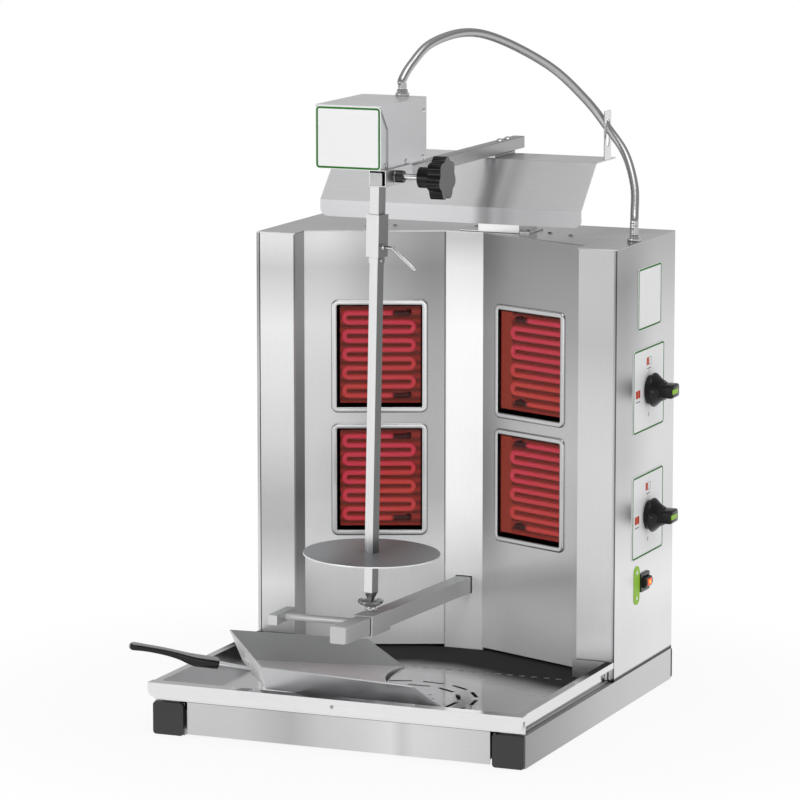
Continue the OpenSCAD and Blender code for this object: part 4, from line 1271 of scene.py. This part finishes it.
@dataclass
class Switches(Assembly):
    """The printed plates, the two knobs and the lit rocker on the right side.

    All measures are in millimetres, and pairs are a place or a length along Y and along Z.
    """

    knob_y: float = 163.0
    # Name, height of the plate's middle and height of the knob's axis.
    rows: Sequence[tuple[str, float, float]] = (("lower", 232.0, 230.0), ("upper", 390.0, 388.0))
    # Pairs of radius and distance from the side sheet.
    bell: Sequence[Span] = (
        (0.0, 1.7),
        (18.4, 1.7),
        (18.4, 6.0),
        (21.0, 7.0),
        (21.5, 8.4),
        (21.2, 9.6),
        (19.4, 12.0),
        (16.2, 15.2),
        (13.6, 18.6),
        (12.0, 22.4),
        (0.0, 22.6),
    )
    rocker_at: Point = (HALF_WIDTH / MM, 152.0, 147.0)
    rocker_radius: float = 10.6
    rocker_half: float = 6.2

    def build(self) -> None:
        """Makes the knobs, the plates' print and the rocker's lens."""
        self.dress(WHITE_FILM, "control_plates", "label_plate")
        self.dress(LIME_FILM, "switch_label")
        for name, _, knob_z in self.rows:
            self.knob(f"{name}_knob", knob_z)
        for row in self.rows:
            self.print_plate(*row)
        ring = self.mark(0, (83.4, 75.9), 4.0, (164.5, 504.25), 2.2)
        self.publish(ring, "label_plate_border", "frame", "green_film", [GREEN_FILM], None)
        self.rocker()

    def knob(self, name: str, z: float) -> None:
        """Makes one knob: a bell skirt, a waisted grip and a lime pointer.

        Args:
            name: The CAD node and body of the knob.
            z: Height of its axis.
        """
        bell = paint(turned(self.bell), 0)
        grip = paint(block((23, 27, 17), (25.4, 0, 0), 3.2, 4), 0)
        pointer = paint(block((1.2, 19, 6), (36.5, -3, 0), 0.5), 1)
        seat = Matrix.Translation((13.2 * MM, -17.6 * MM, 0)) @ rotation(-41, "Z")
        mark = moved(paint(self.triangle(4.6 * MM), 2), seat)
        axis = Matrix.Translation((HALF_WIDTH, self.knob_y * MM, z * MM))
        bm = moved(merge([bell, grip, pointer, mark]), axis)
        finishes = [KNOB_PLASTIC, LIME_FILM, WHITE_FILM]
        piece = self.publish(bm, f"{name}_moulding", name, "knob_plastic", finishes)
        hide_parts(name)

    def triangle(self, size: float) -> BMesh:
        """Returns a thin triangle in the YZ plane that points to -Y."""
        bm = bmesh.new()
        corners = [(0, -size / 2, 0), (0, size / 2, size / 2), (0, size / 2, -size / 2)]
        bm.faces.new([bm.verts.new(c) for c in corners])
        thicken(bm, 0.3 * MM)
        return bm

    def mark(
        self, index: int, size: Span, radius: float, middle: Span, line: float = 0.0
    ) -> BMesh:
        """Returns one printed mark on the side of the cabinet.

        Args:
            index: Its material number.
            size: Its width and height.
            radius: Radius of its corners.
            middle: Its middle.
            line: Width of the line of an outline, 0 for a full patch.
        """
        measures = [v * MM for v in (*size, radius)]
        bm = outline(*measures, line * MM) if line else rounded_sheet(*measures)
        thicken(bm, 0.1 * MM)
        place = (HALF_WIDTH + 0.8 * MM, middle[0] * MM, middle[1] * MM)
        return moved(paint(bm, index), Matrix.Translation(place))

    def print_plate(self, name: str, z: float, knob_z: float) -> None:
        """Prints one control plate: border, heat zone signs and the 0.

        Args:
            name: Which plate.
            z: Its middle height.
            knob_z: Height of its knob.
        """
        y = self.knob_y
        marks = (
            (0, (112.4, 103.4), 5.0, (y, z), 2.2),
            (1, (8.4, 9.7), 0.4, (y - 4.6, knob_z + 36.0)),
            (2, (8.4, 9.7), 0.4, (y + 4.9, knob_z + 36.0), 0.5),
            (1, (7.4, 9.7), 0.4, (y - 44.0, knob_z - 1.0)),
            (1, (7.4, 9.7), 0.4, (y - 35.6, knob_z - 1.0)),
            (2, (15.0, 1.1), 0.2, (y, knob_z + 27.0)),
            (2, (15.0, 1.1), 0.2, (y - 40.0, knob_z - 10.5)),
            (2, (0.5, 5.0), 0.1, (y, knob_z + 23.6)),
            (2, (3.2, 4.6), 1.5, (y, knob_z - 31.0), 0.7),
        )
        bm = merge(self.mark(*mark) for mark in marks)
        films = [GREEN_FILM, RED_FILM, GREY_FILM]
        self.publish(bm, f"{name}_plate_print", "frame", "green_film", films, None)

    def rocker(self) -> None:
        """Makes the rocker: a black paddle with a lit orange lens, and the label's two marks."""
        r, half = self.rocker_radius, self.rocker_half
        body = moved(
            turned([(0.0, -r), (r, -r), (r, r), (0.0, r)], 48),
            Matrix.Translation((-2 * MM, 0, 0)) @ rotation(90, "Z"),
        )
        for co, no in (
            ((0, 0, half * MM), (0, 0, 1)),
            ((0, 0, -half * MM), (0, 0, -1)),
            ((-4 * MM, 0, 0), (-1, 0, 0)),
        ):
            geom = body.verts[:] + body.edges[:] + body.faces[:]
            plane = {"plane_co": co, "plane_no": no, "clear_outer": True}
            cut = bmesh.ops.bisect_plane(body, geom=geom, **plane)["geom_cut"]
            rim = [edge for edge in cut if isinstance(edge, bmesh.types.BMEdge)]
            bmesh.ops.holes_fill(body, edges=rim, sides=400)
        lens = paint(block((2.0, 15, 8.4), (7.7, 0, 0), 0.8), 1)
        core = paint(block((2.0, 4.5, 4.2), (7.95, 0, 0), 0.6), 2)
        place = Matrix.Translation([v * MM for v in self.rocker_at])
        bm = moved(merge([paint(body, 0), lens, core]), place)
        finishes = [SWITCH_PLASTIC, LENS, LENS_CORE]
        piece = self.publish(bm, "rocker_paddle", "rocker", "lit_rocker", finishes)
        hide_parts("rocker")
        z = self.rocker_at[2]
        on = self.mark(0, (5.0, 5.0), 2.4, (125.7, z + 15.5))
        off = self.mark(0, (4.0, 4.0), 0.3, (125.7, z - 16.5))
        marks = merge([on, off])
        self.publish(marks, "switch_label_marks", "frame", "plate_film", [WHITE_FILM], None)


@dataclass
class Scoop(Assembly):
    """The loose sheet steel scoop and its tapered grip."""

    origin: Point = (0.0425, -0.087, 0.0437)
    heading: Point = (0.823, 0.569, 0.0)
    # The grip's root: how far behind the origin and how far above it.
    root: Span = (0.214, 0.033)
    # Places along the tongue in millimetres: distance, height, half width and half thickness.
    sections: Sequence[tuple[float, float, float, float]] = (
        (-43.0, -0.2, 9.4, 4.8),
        (-43.8, -0.4, 10.6, 6.4),
        (-58.0, -1.2, 10.6, 6.9),
        (-70.0, -1.9, 10.0, 7.1),
        (-80.0, -1.2, 9.4, 6.2),
        (-92.0, 0.3, 8.4, 4.9),
        (-110.0, 1.3, 8.0, 4.2),
        (-132.0, 1.0, 7.9, 4.0),
        (-146.0, 0.2, 8.3, 4.5),
        (-150.4, -0.4, 7.6, 4.0),
        (-152.6, -0.8, 4.6, 2.2),
    )
    # Power of the cosine and the sine: 1 gives an oval section, less a squarer one.
    squareness: float = 0.62
    # Faces that look up more steeply than this take the painted grey sheen.
    painted_sheen_from: float = 0.72

    def build(self) -> None:
        """Dresses the pan and makes the grip."""
        self.dress(SCOOP_SHEET, "scoop_pan", edge_mm=0.3)
        self.grip()

    def grip(self) -> None:
        """Makes the tapered grip on the scoop's tongue, its top painted grey as a sheen."""
        route = Route([(s[0], s[1], 0.0) for s in self.sections], steps=4)
        sizes = Route([(s[0], s[2], s[3]) for s in self.sections], steps=4)
        rings = len(route.line) - 1

        def place(share: float, turn: float) -> Vector:
            """Returns the point of the grip at a share of its length and of a turn."""
            step = min(round(share * rings), rings)
            middle, size = route.line[step], sizes.line[step]
            angle = turn * math.tau
            c, s = math.cos(angle), math.sin(angle)
            y = math.copysign(abs(c) ** self.squareness, c) * size.y
            z = math.copysign(abs(s) ** self.squareness, s) * size.z
            return Vector((middle.x, y, middle.y + z)) * MM

        bm = swept(rings, 40, place)
        bmesh.ops.recalc_face_normals(bm, faces=bm.faces)
        # Painted sheen: faces that look up take the grey second finish.
        for face in bm.faces:
            face.material_index = int(face.normal.z > self.painted_sheen_from)
        behind, above = self.root
        root = Vector(self.origin) - Vector(self.heading) * behind + Vector((0, 0, above))
        bm = moved(bm, Matrix.Translation(root) @ rotation(34.7, "Z") @ rotation(14, "Y"))
        finishes = [GRIP_PLASTIC, GRIP_TOP_PAINTED_SHEEN]
        piece = self.publish(bm, "scoop_grip", "scoop", "knob_plastic", finishes, 30)
        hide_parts("scoop_handle")


@dataclass
class Studio:
    """Camera, pale floor and soft light."""

    target: Point = (-0.0365, 0.025, 0.37796)
    eye: Point = (2.0434, -4.9691, 1.2590)
    lens: float = 199.29
    # Name, place, size and power of each soft box, and the point that they are turned to.
    soft_boxes: Sequence[tuple[str, Point, Span, float]] = (
        ("front left", (-1.25, -2.85, 0.62), (1.9, 1.15), 10.0),
        ("front right", (1.35, -2.7, 0.35), (1.1, 0.6), 3.0),
        ("top", (0.7, -0.9, 2.9), (1.6, 1.6), 18.0),
    )
    lit: Point = (0.0, 0.0, 0.35)

    def build(self) -> None:
        """Sets up the camera, the floor and the lamps."""
        self.camera()
        self.floor()
        self.surround()
        self.lamps()

    def hang(self, item: bpy.types.Object, eye: Point, target: Point) -> None:
        """Puts a camera or a lamp in its place and turns it to a point.

        Args:
            item: The camera or lamp.
            eye: Its place.
            target: The point that it is turned to.
        """
        item.location = eye
        way = Vector(target) - Vector(eye)
        item.rotation_euler = way.to_track_quat("-Z", "Y").to_euler()
        bpy.context.scene.collection.objects.link(item)

    def camera(self) -> None:
        """Places the camera where the photograph was taken from."""
        data = bpy.data.cameras.new("camera")
        data.lens = self.lens
        data.sensor_width = 36.0
        data.clip_end = 100.0
        camera = bpy.data.objects.new("camera", data)
        self.hang(camera, self.eye, self.target)
        bpy.context.scene.camera = camera

    def floor(self) -> None:
        """Lays the pale floor, which shows as the white background and keeps the shadow."""
        bm = bmesh.new()
        bmesh.ops.create_circle(bm, cap_ends=True, segments=96, radius=7.0)
        mesh = bpy.data.meshes.new("floor")
        bm.to_mesh(mesh)
        bm.free()
        floor = bpy.data.objects.new("floor", mesh)
        floor.location.z = -0.5 * MM
        bpy.context.scene.collection.objects.link(floor)
        material = bpy.data.materials.new("studio floor, white")
        material.use_nodes = True
        tree = material.node_tree
        shader = tree.nodes["Principled BSDF"]
        fill(tree, shader, {"Base Color": hex_colour("#F4F4F4"), "Roughness": 0.9})
        white = add_node(tree, "Emission", {"Strength": 1.0})
        place = add_node(tree, "TexCoord").outputs["Object"]
        away = add_node(tree, "VectorMath LENGTH", {0: place}).outputs["Value"]
        fade = {"From Min": 0.40, "From Max": 0.75, "To Min": 0.88, "To Max": 1.0}
        near = add_node(tree, "MapRange", {**SMOOTH, **fade, "Value": away})
        share = add_node(tree, "Math MULTIPLY", {0: self.seen(tree), 1: near})
        mix = add_node(tree, "MixShader", {0: share, 1: shader, 2: white})
        fill(tree, tree.nodes["Material Output"], {"Surface": mix})
        mesh.materials.append(material)

    def seen(self, tree: Tree) -> Node:
        """Returns 1 for rays of the camera, gloss and glass, which show the backdrop white."""
        rays = add_node(tree, "LightPath").outputs
        pair = {0: rays["Is Glossy Ray"], 1: rays["Is Transmission Ray"]}
        gloss = add_node(tree, "Math MAXIMUM", pair)
        return add_node(tree, "Math MAXIMUM", {0: rays["Is Camera Ray"], 1: gloss})

    def surround(self) -> None:
        """Sets the white surround, and the darker ceiling that gloss shows."""
        world = bpy.data.worlds.new("surround")
        bpy.context.scene.world = world
        world.use_nodes = True
        tree = world.node_tree
        pale, plain = hex_colour("#FFFFFF"), tree.nodes["Background"]
        fill(tree, plain, {"Color": pale, "Strength": 0.68})
        way = add_node(tree, "TexCoord").outputs["Generated"]
        height = add_node(tree, "SeparateXYZ", {0: way}).outputs["Z"]
        ceiling = add_node(tree, "ValToRGB", {"Fac": height})
        marks = ceiling.color_ramp.elements
        for index, (at, grey) in enumerate(((0.02, 1.0), (0.14, 0.55), (0.45, 0.35), (0.80, 0.55))):
            mark = marks[index] if index < 2 else marks.new(at)
            mark.position = at
            mark.color = (grey, grey, grey, 1.0)
        white = add_node(tree, "Background", {"Color": pale, "Strength": 1.0})
        studio = add_node(tree, "Background", {"Color": ceiling, "Strength": 1.0})
        glossy = add_node(tree, "LightPath").outputs["Is Glossy Ray"]
        backdrop = add_node(tree, "MixShader", {0: glossy, 1: white, 2: studio})
        mix = add_node(tree, "MixShader", {0: self.seen(tree), 1: plain, 2: backdrop})
        fill(tree, tree.nodes["World Output"], {"Surface": mix})

    def lamps(self) -> None:
        """Hangs the soft boxes."""
        for name, place, size, power in self.soft_boxes:
            data = bpy.data.lights.new(name, "AREA")
            data.shape = "RECTANGLE"
            data.size, data.size_y = size
            data.energy = power
            lamp = bpy.data.objects.new(name, data)
            lamp.visible_camera = False
            self.hang(lamp, place, self.lit)


def main() -> None:
    """Builds the camera first, then every sub-assembly."""
    logging.basicConfig(level=logging.INFO, format="%(name)s: %(message)s")
    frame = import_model()
    bpy.context.scene.view_settings.view_transform = "Standard"
    Studio().build()
    shop = Workshop()
    nodes = frame["nodes"]
    for kind in (Base, Cabinet, Arms, Hose, Carriage, Spit, Switches, Scoop):
        kind(shop, nodes).build()


if __name__ == "__main__":
    main()
